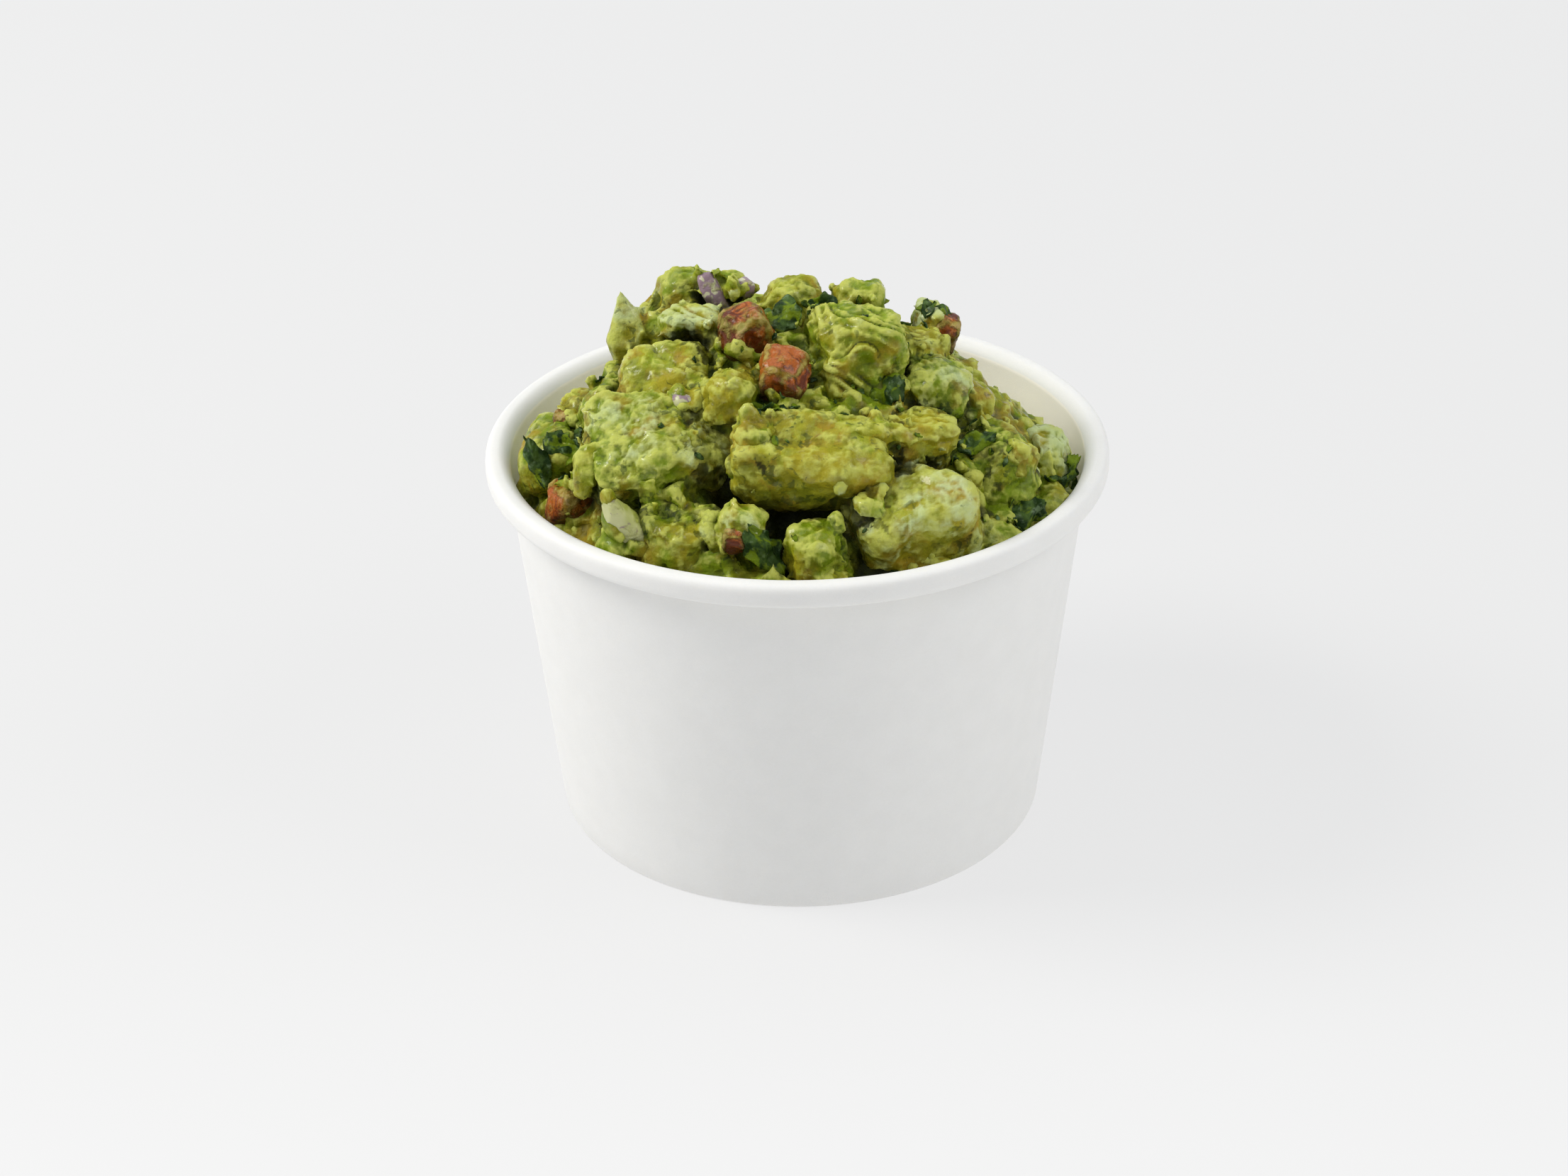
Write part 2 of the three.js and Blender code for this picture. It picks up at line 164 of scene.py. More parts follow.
class Socket:
    """A shader output that can be used in Python expressions: each operator adds its Math node."""

    def __init__(self, graph, output):
        self.graph = graph
        self.output = output

    def _math(self, operation, first, second):
        return self.graph.add("ShaderNodeMath", {"operation": operation}, {0: first, 1: second})

    def __add__(self, other):
        return self._math("ADD", self, other)

    __radd__ = __add__

    def __mul__(self, other):
        return self._math("MULTIPLY", self, other)

    __rmul__ = __mul__

    def __sub__(self, other):
        return self._math("SUBTRACT", self, other)

    def __rsub__(self, other):
        return self._math("SUBTRACT", other, self)

    def step(self, low, high):
        """0 below low, 1 above high, smooth between."""
        return self.graph.add(
            "ShaderNodeMapRange",
            {"interpolation_type": "SMOOTHSTEP"},
            {"Value": self, "From Min": low, "From Max": high},
        )


class Graph:
    """A new material's nodes, with one Principled shader."""

    def __init__(self, name):
        self.material = bpy.data.materials.new(name)
        self.material.use_nodes = True
        self.tree = self.material.node_tree
        self.shader = self.tree.nodes["Principled BSDF"]
        self.place = self.add("ShaderNodeTexCoord", {}, {}, output="Object")

    def fill(self, node, key, value):
        socket = node.inputs[key]
        if isinstance(value, Socket):
            self.tree.links.new(value.output, socket)
        elif socket.type == "RGBA" and len(value) == 3:
            socket.default_value = (*value, 1.0)
        else:
            socket.default_value = value

    def add(self, kind, settings, inputs, output=0):
        node = self.tree.nodes.new(kind)
        for key, value in settings.items():
            setattr(node, key, value)
        for key, value in inputs.items():
            self.fill(node, key, value)
        return Socket(self, node.outputs[output])

    def attribute(self, name):
        return self.add("ShaderNodeAttribute", {"attribute_name": name}, {}, output="Fac")

    def noise(self, size_mm, detail=2.0, roughness=0.5, distortion=0.0):
        """Noise from 0 to 1 with features of about this size."""
        return self.add(
            "ShaderNodeTexNoise",
            {},
            {
                "Vector": self.place,
                "Scale": 1.0 / (size_mm * MM),
                "Detail": detail,
                "Roughness": roughness,
                "Distortion": distortion,
            },
        )

    def mix(self, factor, first, second):
        """A colour between two colours."""
        return self.add("ShaderNodeMix", {"data_type": "RGBA"}, {0: factor, 6: first, 7: second}, output=2)

    def bump(self, height, distance_mm):
        inputs = {"Height": height, "Distance": distance_mm * MM}
        return self.add("ShaderNodeBump", {}, inputs, output="Normal")

    def finish(self, **sockets):
        for name, value in sockets.items():
            self.fill(self.shader, name.replace("_", " "), value)
        return self.material


# ---------------------------------------------------------------- finishes


def flesh_finish(name, colours):
    """Moist avocado: yellow to green by ripeness; pale on crests and upward faces, part creamy mash and part
    painted highlight; painted shade in hollows and gaps.
    """
    g = Graph(name)
    ripe, proud, gap, up = g.attribute("ripe"), g.attribute("proud"), g.attribute("gap"), g.attribute("up")
    tone, fine_tone, crumbly = g.attribute("tone"), g.attribute("fine_tone"), g.attribute("crumbly")
    mottle = g.noise(1.3, detail=3.0, roughness=0.55)
    cloudy = g.noise(4.5, detail=3.0, distortion=0.3)
    streaky = g.noise(2.4, detail=2.0, distortion=0.3)
    olive = tuple(0.4 * c for c in colours.green)
    yellowness = (ripe + (cloudy - 0.5) * 1.5 + (mottle - 0.5) * 0.5).step(0.15, 0.85)
    body = g.mix(yellowness, colours.green, colours.yellow)
    body = g.mix(g.noise(5.0, detail=2.0).step(0.5, 0.66) * 0.6, body, colours.browned)
    body = g.mix((0.3 - tone).step(0.0, 0.05) * crumbly * 0.3, body, olive)
    body = g.mix(tone.step(0.55, 0.6) * crumbly * 0.3, body, colours.lime)
    body = g.mix((tone * 0.6 + fine_tone * 0.4).step(0.68, 0.74) * 0.25 * crumbly, body, colours.pale)
    # Olive patches at random, more on faces turned down: partly painted shade
    body = g.mix((g.noise(3.5, detail=1.0) - 0.12 * up).step(0.42, 0.62) * 0.4, body, olive)
    milk = g.attribute("milk")
    # Painted highlight, partly real creamy mash: pale and milky green on crests, edges and upward faces, more
    # on milky pieces
    cream_and_highlight = g.mix((milk + (cloudy - 0.5) * 1.5).step(0.45, 0.85), colours.pale, colours.mint)
    lit = (proud - 0.5) * 1.9 + (streaky - 0.5) * 1.5 + (mottle - 0.5) * 0.6
    lit = lit + 0.2 * up + 0.3 * g.attribute("rim") + 0.5 * milk
    body = g.mix(lit.step(0.22, 0.8) * 0.82, body, cream_and_highlight)
    # Painted shade: dark in the hollows of the surface
    body = g.mix((0.54 - proud).step(0.03, 0.35) * 0.65, body, colours.hollow_shade)
    herb = (g.noise(1.5, detail=3.0, distortion=0.6) + 0.16 * gap).step(0.63, 0.7)
    herb = herb * (g.noise(9.0).step(0.42, 0.58) * 0.5 + 0.2 * gap)
    body = g.mix(herb, body, tuple(1.3 * c for c in colours.leaf))
    # Painted shade: near black where the pieces around close the surface in
    body = g.mix(gap.step(0.5, 0.95) * 0.92, body, tuple(0.2 * c for c in colours.hollow_shade))
    wet = g.noise(2.0, detail=3.0).step(0.48, 0.62) * (1 - gap.step(0.2, 0.6))
    return g.finish(
        Base_Color=body,
        Roughness=0.5 - 0.22 * wet,
        Normal=g.bump(g.noise(0.7, detail=3.0) * 0.5 + mottle * 0.7 + streaky * 0.6, 0.4),
        Coat_Weight=0.55 * wet,
        Coat_Roughness=0.12,
        Specular_IOR_Level=0.2,
        Subsurface_Weight=0.3,
        Subsurface_Radius=(1.0, 0.9, 0.3),
        Subsurface_Scale=0.0012,
        IOR=1.42,
    )


def tomato_finish(colours):
    """Cut tomato: red-brown to orange flesh smeared with mash, with painted shade in its folds, on its
    underside and in the gaps.
    """
    g = Graph("tomato")
    proud, gap = g.attribute("proud"), g.attribute("gap")
    cloud = g.noise(2.4, detail=4.0, roughness=0.6, distortion=0.4)
    streak = g.noise(1.6, detail=3.0, distortion=1.2)
    bright = (g.attribute("ripe") + (streak - 0.5) * 2.0).step(0.4, 0.9)
    flesh = g.mix(bright, colours.tomato, colours.tomato_orange)
    # Painted shade: near black in the hollows of the tomato
    flesh = g.mix((0.5 - proud + (cloud - 0.5) * 0.4).step(0.0, 0.35) * 0.85, flesh, colours.tomato_crease_shade)
    smear = g.noise(3.2, detail=4.0, roughness=0.6) + (proud - 0.5) * 0.2 + g.attribute("rim") * 0.2
    smear = smear.step(0.48, 0.7)
    mash = g.mix(g.noise(1.6, detail=2.0).step(0.35, 0.65), colours.smear, colours.pale_smear)
    body = g.mix(smear * 0.75, flesh, mash)
    body = g.mix((streak + (proud - 0.5) * 0.5).step(0.62, 0.72) * 0.3, body, colours.tomato_pith)
    # Painted shade on the faces that turn down
    body = g.mix((0.2 - g.attribute("up")).step(0.0, 0.6) * 0.7, body, colours.tomato_underside_shade)
    # Painted shade where the pieces around close the tomato in
    body = g.mix(gap.step(0.35, 0.95) * 0.8, body, colours.tomato_gap_shade)
    wet = 1 - smear
    return g.finish(
        Base_Color=body,
        Roughness=0.45 - 0.15 * wet,
        Normal=g.bump(cloud + smear * 0.8 + streak, 0.5),
        Coat_Weight=0.5 * wet,
        Coat_Roughness=0.15,
        Specular_IOR_Level=0.15,
        Subsurface_Weight=0.15,
        Subsurface_Radius=(1.0, 0.35, 0.15),
        Subsurface_Scale=0.0015,
        IOR=1.4,
    )


def onion_finish(colours):
    """Red onion: cream layers with purple edges, half clear, smeared with mash."""
    g = Graph("red_onion")
    edge = g.attribute("ripe")
    streak = g.noise(1.5, detail=3.0, distortion=0.4)
    layer = g.mix(edge, colours.onion, colours.onion_cream)
    body = g.mix((edge + (streak - 0.5) * 2.8).step(0.5, 0.75) * 0.85, layer, colours.onion_skin)
    stain = (0.75 - edge).step(0.2, 0.7) * g.noise(3.0).step(0.35, 0.6) * 0.8
    body = g.mix(stain, body, colours.onion_stain)
    smear = g.noise(2.2, detail=3.0, distortion=0.3).step(0.52, 0.68)
    body = g.mix(smear * 0.6, body, colours.onion_smear)
    # Painted shade where the pieces around close the onion in
    body = g.mix(g.attribute("gap").step(0.35, 0.95) * 0.8, body, colours.onion_gap_shade)
    return g.finish(
        Base_Color=body,
        Roughness=0.35 + 0.2 * smear,
        Normal=g.bump(streak + smear, 0.2),
        Coat_Weight=0.4 * (1 - smear),
        Coat_Roughness=0.12,
        Specular_IOR_Level=0.35,
        Subsurface_Weight=0.3,
        Subsurface_Radius=(1.0, 0.9, 0.6),
        Subsurface_Scale=0.0015,
        IOR=1.38,
    )


def leaf_finish(colours):
    """Wet dark leaf with lighter blotches."""
    g = Graph("coriander")
    tone = g.noise(2.2, detail=3.0, distortion=0.5)
    body = g.mix(tone.step(0.42, 0.66) * 0.9, colours.leaf, colours.leaf_light)
    body = g.mix(g.noise(1.3, detail=3.0).step(0.55, 0.7) * 0.5, body, colours.leaf_cream)
    body = g.mix(g.noise(2.4, detail=3.0, distortion=0.4).step(0.52, 0.62) * 0.8, body, colours.green)
    return g.finish(
        Base_Color=body,
        Roughness=0.45 + 0.15 * g.noise(1.5),
        Normal=g.bump(g.noise(0.9, detail=3.0), 0.4),
        Coat_Weight=0.25 * g.noise(1.8).step(0.5, 0.62),
        Coat_Roughness=0.2,
        Specular_IOR_Level=0.18,
        IOR=1.4,
    )


def paper_finish(cup):
    """Matte white board with a faint fibre grain and a little cloudiness."""
    g = Graph("paper")
    fibre = g.noise(0.35, detail=4.0, roughness=0.7, distortion=1.0)
    cloud = g.noise(5.0, detail=3.0)
    tone = tuple(c * 0.955 for c in cup.paper)
    board = g.mix((cloud * 0.5 + fibre * 0.5).step(0.25, 0.75), tone, tuple(cup.paper))
    return g.finish(
        # Inner face in the lining colour, partly painted bounce light from the food
        Base_Color=g.mix(g.attribute("lining_and_bounce"), board, tuple(cup.lining_and_bounce)),
        Roughness=0.5 + 0.12 * fibre,
        Normal=g.bump(fibre * 0.5 + cloud * 0.6, 0.06),
        Sheen_Weight=0.05,
        Subsurface_Weight=0.35,
        Subsurface_Radius=(1.0, 0.94, 0.84),
        Subsurface_Scale=0.0012,
        IOR=1.45,
    )


# ---------------------------------------------------------------- measures of the cup and the mound

CREST_Y = 2.0
FRONT = {"half_width": 44.0, "reach": 46.0, "foot": -4.0, "power": 2.3, "core_sink": 4.5}
BACK = {"half_width": 38.0, "reach": 33.0, "foot": -9.0, "power": 1.4, "core_sink": 6.5}
HOLLOWS = (((-1, -30.5), 6.5, 13), ((-10.5, -27), 4, 10), ((11, -35), 5, 7))  # centre, radius, depth
DISC_TOP = 7.2  # top of the bottom disc
HEM_HEIGHT = 5.6  # board folded up inside the foot
GAP = 0.3  # clearance between the paper and what lies on it
LIP_FLATNESS, LIP_FALL = 3.2, 1.6  # power of the lip's curve outside and inside, 2 is a circle
GOLDEN_ANGLE = math.radians(137.508)
SHARP_ANGLE = math.radians(50)
MASH_CRUMBS = 1000
NOOK_CRUMBS = 850


class Cup:
    """The cup's sizes in millimetres."""

    def __init__(self, settings):
        self.height = settings.height / MM
        self.rim = settings.rim_radius / MM
        self.foot = settings.foot_radius / MM
        self.board = settings.board / MM
        self.lip = settings.lip / MM
        self.lip_z = self.height - self.lip / 2
        self.lip_r = self.rim - self.lip / 2
        self.taper = (self.rim - self.lip + self.board - self.foot) / self.lip_z

    def outer(self, z):
        return self.foot + self.taper * z

    def inside(self, z):
        """Radius that food may reach at a height."""
        return self.outer(np.minimum(z, self.lip_z)) - self.board - GAP


def chance(index, channel):
    """A repeatable number from 0 to 1 for a piece's index and a channel."""
    s = math.sin(index * 127.1 + channel * 311.7) * 43758.5453
    return s - math.floor(s)


def front_to_back(y, measure):
    """A measure of the mound, which changes over ten millimetres behind the crest."""
    return FRONT[measure] + (BACK[measure] - FRONT[measure]) * np.clip((y - CREST_Y) / 10, 0, 1)


def mound_level(x, y, crown):
    """Level of the mound's mean surface against the rim plane."""
    dy = y - CREST_Y
    reach = np.where(dy < 0, FRONT["reach"], BACK["reach"])
    half_width, foot, power = (front_to_back(y, measure) for measure in ("half_width", "foot", "power"))
    out = np.hypot(x / half_width, dy / reach)
    return foot + (crown - foot) * np.maximum(0, 1 - out**power)


def core_level(x, y, crown):
    """Level of the mashed core under the pieces against the rim plane."""
    return mound_level(x, y, crown) - front_to_back(y, "core_sink")


def hollow_depth(x, y):
    depths = [depth * np.exp(-((x - cx) ** 2 + (y - cy) ** 2) / r**2) for (cx, cy), r, depth in HOLLOWS]
    return np.max(depths, axis=0)


# ---------------------------------------------------------------- the pieces' places

# kind, (x, y, level against the rim plane), (width, depth, height) in millimetres,
# and (tip, lean, spin) in degrees
PLACED = (
    # large avocado chunks on the front slope
    ("chunk", (-20.8, -20, 7), (17, 22.5, 16), (8, -15, 100)),
    ("chunk", (2, -26.5, 9), (25, 13, 12), (25, 4, 0)),
    ("chunk", (17, -29.5, 0.5), (19.5, 15, 15), (-20, 12, -168)),
    ("chunk", (8.5, -10.5, 18), (15, 15, 17), (-10, 6, 20)),
    ("chunk", (-19.5, -10, 14.5), (16, 13, 10), (30, -8, -5)),
    ("chunk", (29.5, -16.5, 1.5), (12.5, 14, 15), (0, 10, 30)),
    ("chunk", (-17.3, -32, -0.8), (14, 11, 9), (20, 6, -8)),
    ("chunk", (17, -21.5, 9.5), (12.5, 10, 9), (10, 0, 20)),
    # smaller avocado between and above them
    ("bit", (20.5, -12, 14), (11.5, 11, 9), (0, 12, 25)),
    ("bit", (25.4, -7, 8.8), (8, 11, 10), (10, 30, 0)),
    ("bit", (38, -5.5, -2.4), (9, 12.5, 12.4), (0, 0, 10)),
    ("bit", (-37.2, -6, 0), (11.5, 14, 13), (0, 0, -10)),
    ("bit", (-9.5, -18.5, 16.2), (8, 8.5, 9), (0, 10, 15)),
    ("bit", (-6, -27.5, 13.6), (7, 6.5, 5.5), (0, -10, 0)),
    ("bit", (2.3, -36.5, -0.8), (10, 9, 9), (10, 0, 30)),
    ("bit", (-8.2, -34.5, 3), (8, 7, 6), (0, 8, 0)),
    ("bit", (-16, 7, 20.3), (12, 8, 10.4), (0, 4, 0)),
    ("bit", (-25.6, 3, 16.6), (7.6, 7, 16.6), (0, -8, 0)),
    ("bit", (-10.4, 5, 22.8), (6.4, 5.5, 6.5), (0, 0, 0)),
    ("bit", (-15.8, -2.5, 20.5), (11, 7, 6), (0, 0, 8)),
    ("bit", (0, 1, 22.3), (10, 9, 8), (0, 0, -15)),
    ("bit", (9.8, 1.5, 22.1), (8.4, 8.5, 8.8), (0, 10, 0)),
    ("bit", (15.4, -6.5, 17.8), (6.5, 9, 8.6), (0, 20, 0)),
    ("bit", (19.9, -6.5, 18.2), (7.6, 6.5, 6.4), (0, 10, 10)),
    ("bit", (20.6, 0.5, 18.2), (5, 6, 9), (0, 0, 0)),
    ("bit", (20.6, 0, 11.6), (8.6, 10, 8), (0, 0, 0)),
    ("bit", (-29, -9, 9.3), (8.5, 9, 8.5), (0, -20, 0)),
    ("bit", (-32.5, -2, 6), (8, 8, 7), (0, 0, 20)),
    ("bit", (-26, -31.5, -3), (9, 7, 7), (0, 0, 30)),
    ("bit", (28.5, -28, -4.5), (11, 8, 8), (0, 0, -35)),
    ("bit", (38, -16, -5), (8, 11, 8), (0, 0, 20)),
    ("bit", (12.5, -25.5, 13), (7.5, 5, 4.5), (0, 10, 10)),
    ("bit", (-31, -23.5, 6.2), (5, 7, 9), (0, 10, -10)),
    ("bit", (10.2, -34.6, 5.8), (5.5, 5, 4.5), (0, 0, 20)),
    ("bit", (-20.8, 3, 15.7), (8, 8, 9), (0, 0, 10)),
    ("bit", (33, -19.5, 4.2), (4, 5, 11.5), (0, -8, 20)),
    # tomato
    ("tomato", (-7.4, -8, 20.8), (7.5, 7.5, 10.5), (10, -15, 10)),
    ("tomato", (-2, -18, 18.8), (7.5, 7, 8), (15, 10, -10)),
    ("tomato", (22.6, -0.5, 17.6), (3.8, 5, 6), (0, 15, 0)),
    ("tomato", (-33.5, -18.5, -1.8), (8, 8, 7), (0, 10, 30)),
    ("tomato", (-9.6, -37.4, 1.4), (3.4, 3, 4.5), (0, 0, 0)),
    ("tomato", (-34.5, -5, 6), (5.5, 4, 3.5), (0, 0, 10)),
    # red onion
    ("onion", (-12.2, 3.2, 22.2), (3.4, 3, 9), (-10, -26, 0)),
    ("onion", (-7.7, 4, 23.8), (3.2, 3.2, 2.8), (0, 10, 0)),
    ("onion", (-25.4, -32.8, 2.4), (4, 3.8, 10.6), (15, -28, -10)),
    ("onion", (-16.5, -17.3, 14.4), (4.5, 3.2, 3), (0, 10, 30)),
)

LEAVES = (
    ((-4.8, -38.4, 0.6), (9, 0.6, 5), (-30, 60, 10)),
    ((-4.4, -21.8, 15.4), (8, 0.6, 5), (-50, 8, 5)),
    ((-2.6, -6.4, 23.4), (7.5, 0.6, 6.5), (-40, -20, -25)),
    ((5, -5.6, 23.6), (7, 0.6, 6), (-40, 25, 20)),
    ((21.4, -0.4, 21.4), (5.5, 0.6, 3.5), (-60, 15, 0)),
    ((41.5, -9.5, -1.5), (6, 0.6, 4), (-40, -30, 50)),
    ((-39.4, -14, 3.4), (8, 0.6, 3.5), (-30, 70, -30)),
    ((-35.8, -12.4, 5.2), (6, 0.6, 5), (-40, 20, -30)),
    ((13.2, -17.8, 16.2), (6, 0.6, 4.5), (-40, -30, 20)),
    ((26.5, -19.5, 8.6), (6, 0.6, 4), (-45, 0, 20)),
    ((33.5, -25, -2), (9, 0.6, 5), (-30, -30, 40)),
)

LEAF_THICKNESS = 0.25

# rings of pieces at the back: how far out, how many, and their size
BACK_RINGS = ((0.24, 3, 12), (0.46, 5, 13), (0.68, 7, 12), (0.88, 9, 10.5))
BACK_ORDER = ("chunk", "bit", "chunk", "tomato", "bit", "chunk", "bit", "onion")
BACK_SIZE = {"chunk": 1.15, "bit": 0.9, "tomato": 0.65, "onion": 0.7}
BACK_SINK = 5.0

# for pieces by their row: 0 green to 1 yellow, how milky, and how strongly the surface is ridged
RIPENESS = {0: 0.45, 1: 0.95, 2: 1.0, 3: 0.3, 4: 0.9, 5: 0.4, 6: 0.45, 7: 0.75, 23: 0.95}
RIPENESS |= {42: 0.7, 43: 0.9, 44: 0.12, 45: 0.5}
MILK = {0: 0.5, 1: 0.2, 2: 0.62, 3: 0.3, 5: 0.3, 8: 0.5, 10: 0.8, 15: 0.5, 17: 0.6, 19: 0.7, 23: 0.3}
MILK |= {24: 0.7, 29: 0.5, 33: 0.6}
RIDGES = {0: 0.3, 1: 0.15, 2: 0.1, 3: 1.0, 4: 0.5, 12: 0.7, 13: 0.5, 19: 0.8}

CUTS = 3  # cut corners of a piece
NARROWED = {17: 0.9, 44: 0.35}  # how much the upper half of a piece, by its row, narrows to its top
ROUGH = {1: 0.7, 2: 0.8, 17: 0.15}  # share of the usual crumbs and relief on a piece, by its row
KINDS = {  # how boxy and uneven each kind is
    "chunk": (4.2, 0.10),
    "bit": (3.2, 0.12),
    "tomato": (4.5, 0.06),
    "onion": (4.5, 0.05),
}


def back_pieces(crown):
    """The back of the heap: pieces set by a rule in rings round the crest, each kind in turn."""
    rows = []
    for out, pieces, size in BACK_RINGS:
        for i in range(pieces):
            index = len(rows)
            kind = BACK_ORDER[index % len(BACK_ORDER)]
            bearing = math.radians(8 + 164 * (i + 0.5) / pieces + 8 * (chance(index, 1) - 0.5))
            x = out * BACK["half_width"] * math.cos(bearing)
            y = CREST_Y + out * BACK["reach"] * math.sin(bearing)
            width = size * BACK_SIZE[kind] * (0.9 + 0.25 * chance(index, 2))
            depth = 3.6 if kind == "onion" else width * (0.75 + 0.3 * chance(index, 3))
            height = width * (0.65 + 0.25 * chance(index, 4))
            turn = tuple(swing * (chance(index, 5 + axis) - 0.5) for axis, swing in enumerate((50, 50, 180)))
            level = float(mound_level(x, y, crown)) - 0.5 * height - BACK_SINK * (1 - out)
            rows.append((kind, (x, y, level), (width, depth, height), turn))
    return rows


class Block:
    """One rounded, uneven piece of the heap with a few cut corners, in millimetres."""

    def __init__(self, row, seed, cup):
        self.kind, (x, y, level), size, turn = row
        self.seed = seed
        self.half = np.array(size) / 2
        self.boxiness, self.unevenness = KINDS[self.kind]
        self.cuts = [cut_plane(seed, i) for i in range(CUTS)]
        self.narrowed = NARROWED.get(seed, 0)
        self.rough = ROUGH.get(seed, 1)
        self.milk = MILK.get(seed, 0.3 * chance(seed, 13))
        self.ripe = RIPENESS.get(seed, 0.2 + 0.6 * chance(seed, 12))
        self.ridges = RIDGES.get(seed, 0.1 + 0.3 * chance(seed, 11))
        spin = Euler([math.radians(a) for a in turn])
        self.place = Matrix.Translation((x, y, cup.height + level)) @ spin.to_matrix().to_4x4()
        self.inverse = np.array(self.place.inverted())
        width, depth, height = self.half
        self.area = 8 * (width * depth + depth * height + width * height)

    def surface(self, n, sunk=0.0):
        """Point of the piece's surface in a direction of its own frame, or so much under it."""
        phase = self.seed * 1.7
        waves = (3.1 * n.x + phase, 3.7 * n.y + 2.3 * phase, 4.3 * n.z + 3.1 * phase)
        wave = sum(math.sin(w) for w in waves)
        p = self.boxiness
        reach = (abs(n.x) ** p + abs(n.y) ** p + abs(n.z) ** p) ** (-1 / p) * (1 + self.unevenness * wave / 3)
        for normal, distance in self.cuts:
            along = n.dot(normal) * reach
            if along > distance:
                reach *= distance / along
        narrow = 1 - self.narrowed * max(0.0, n.z * reach)
        shares = (n.x * reach * narrow, n.y * reach * narrow, n.z * reach)
        return Vector(share * max(half - sunk, 0.3) for share, half in zip(shares, self.half))

    def inside(self, points):
        """For points of the heap, their place in the piece as shares of its half sizes."""
        return self.local(points) / self.half

    def local(self, points):
        return points @ self.inverse[:3, :3].T + self.inverse[:3, 3]

    def add_to(self, bm, subdivisions, sunk=0.0):
        for v in bmesh.ops.create_icosphere(bm, subdivisions=subdivisions, radius=1.0)["verts"]:
            v.co = self.place @ self.surface(v.co.normalized(), sunk)

    def add_crumbs(self, bm, density, smallest, spread, sunk):
        """Broken crumbs on the surface, thickest in clusters and along the piece's edges."""
        draw = random.Random(self.seed * 31 + 7)
        centres = [random_direction(draw) for _ in range(5)]
        crumbs = []
        for _ in range(int(self.area * density * self.rough)):
            n = random_direction(draw)
            if draw.random() < 0.45:
                n = (draw.choice(centres) + n * 0.5).normalized()
            share = sorted(abs(c) for c in n)
            if draw.random() > max(0.0, (share[1] / share[2] - 0.2) / 0.7) ** 3:
                continue
            radius = min(smallest + spread * draw.random() ** 4, 0.4 * self.half.min())
            crumbs.append((self.place @ self.surface(n, sunk + radius * draw.uniform(0.5, 1.0)), radius))
        add_crumbs(bm, crumbs, draw, longest=1.15)


def cut_plane(seed, i):
    """Direction and distance, as a share of the half sizes, of a cut that takes off a corner."""
    signs = [1 if chance(seed, 20 + 7 * i + axis) > 0.5 else -1 for axis in range(3)]
    normal = Vector(sign * (0.35 + chance(seed, 23 + 7 * i + axis)) for axis, sign in enumerate(signs))
    return normal.normalized(), 0.92 + 0.2 * chance(seed, 26 + 7 * i)


def random_direction(draw):
    z = draw.uniform(-1, 1)
    a = draw.uniform(0, 2 * math.pi)
    flat = math.sqrt(1 - z * z)
    return Vector((flat * math.cos(a), flat * math.sin(a), z))


def add_crumbs(bm, crumbs, draw, longest=1.7):
    """Crumbs of these centres and radii.

    They go by way of small meshes, because a create operator slows down as its mesh grows.
    """
    for first in range(0, len(crumbs), 50):
        few = bmesh.new()
        for centre, radius in crumbs[first : first + 50]:
            add_crumb(few, centre, radius, draw, longest)
        mesh = from_bmesh(few, "few")
        bm.from_mesh(mesh)
        bpy.data.meshes.remove(mesh)


def add_crumb(bm, centre, radius, draw, longest):
    """One crumb: a small turned block or lump, longer one way than the others."""
    long, wide, high = draw.uniform(0.9, longest), draw.uniform(0.7, 1.1), draw.uniform(0.55, 0.95)
    stretch = Matrix.Diagonal((long, wide, high, 1.0))
    turn = Euler([draw.uniform(0, math.pi) for _ in range(3)]).to_matrix().to_4x4()
    place = Matrix.Translation(centre) @ turn @ stretch
    if draw.random() < 0.45:
        bmesh.ops.create_cube(bm, size=1.35 * radius, matrix=place)
    else:
        bmesh.ops.create_icosphere(bm, subdivisions=1, radius=radius, matrix=place)


def blocks(cup, crown, *kinds):
    rows = [*PLACED, *back_pieces(crown)]
    return [Block(row, i, cup) for i, row in enumerate(rows) if row[0] in kinds]


@functools.lru_cache(maxsize=1)
def openness(height, crown):
    """Tree of points on the pieces, the points, and for each how much of what lies round it is open.

    The last answer is kept, for its height and crown.
    """
    cup = Cup(bpy.context.scene.guacamole_cup)
    bm = bmesh.new()
    for part in blocks(cup, crown, *KINDS):
        part.add_to(bm, 2, sunk=0.3)
    core_points(bm, cup, crown, 24)
    bm.normal_update()
    bm.verts.ensure_lookup_table()
    tree = BVHTree.FromBMesh(bm)
    draw = random.Random(5)
    directions = [random_direction(draw) for _ in range(28)]
    tree_of_points = KDTree(len(bm.verts))
    points, shares = [], []
    for i, v in enumerate(bm.verts):
        start = v.co + v.normal * 0.7
        out = [d for d in directions if d.dot(v.normal) > 0.1]
        met = sum(tree.ray_cast(start, d, 9.0)[0] is not None for d in out)
        tree_of_points.insert(v.co, i)
        points.append(v.co.copy())
        shares.append(1 - met / max(1, len(out)))
    tree_of_points.balance()
    bm.free()
    return tree_of_points, points, shares


def core_points(bm, cup, crown, rings):
    """A plain sheet at the level of the mashed core."""
    widest = float(cup.inside(cup.height))
    sheet = bmesh.ops.create_grid(bm, x_segments=rings * 2, y_segments=rings * 2, size=widest)["verts"]
    for v in sheet:
        level = core_level(v.co.x, v.co.y, crown) - hollow_depth(v.co.x, v.co.y)
        v.co.z = cup.height + float(level)


# ---------------------------------------------------------------- moulding soft food

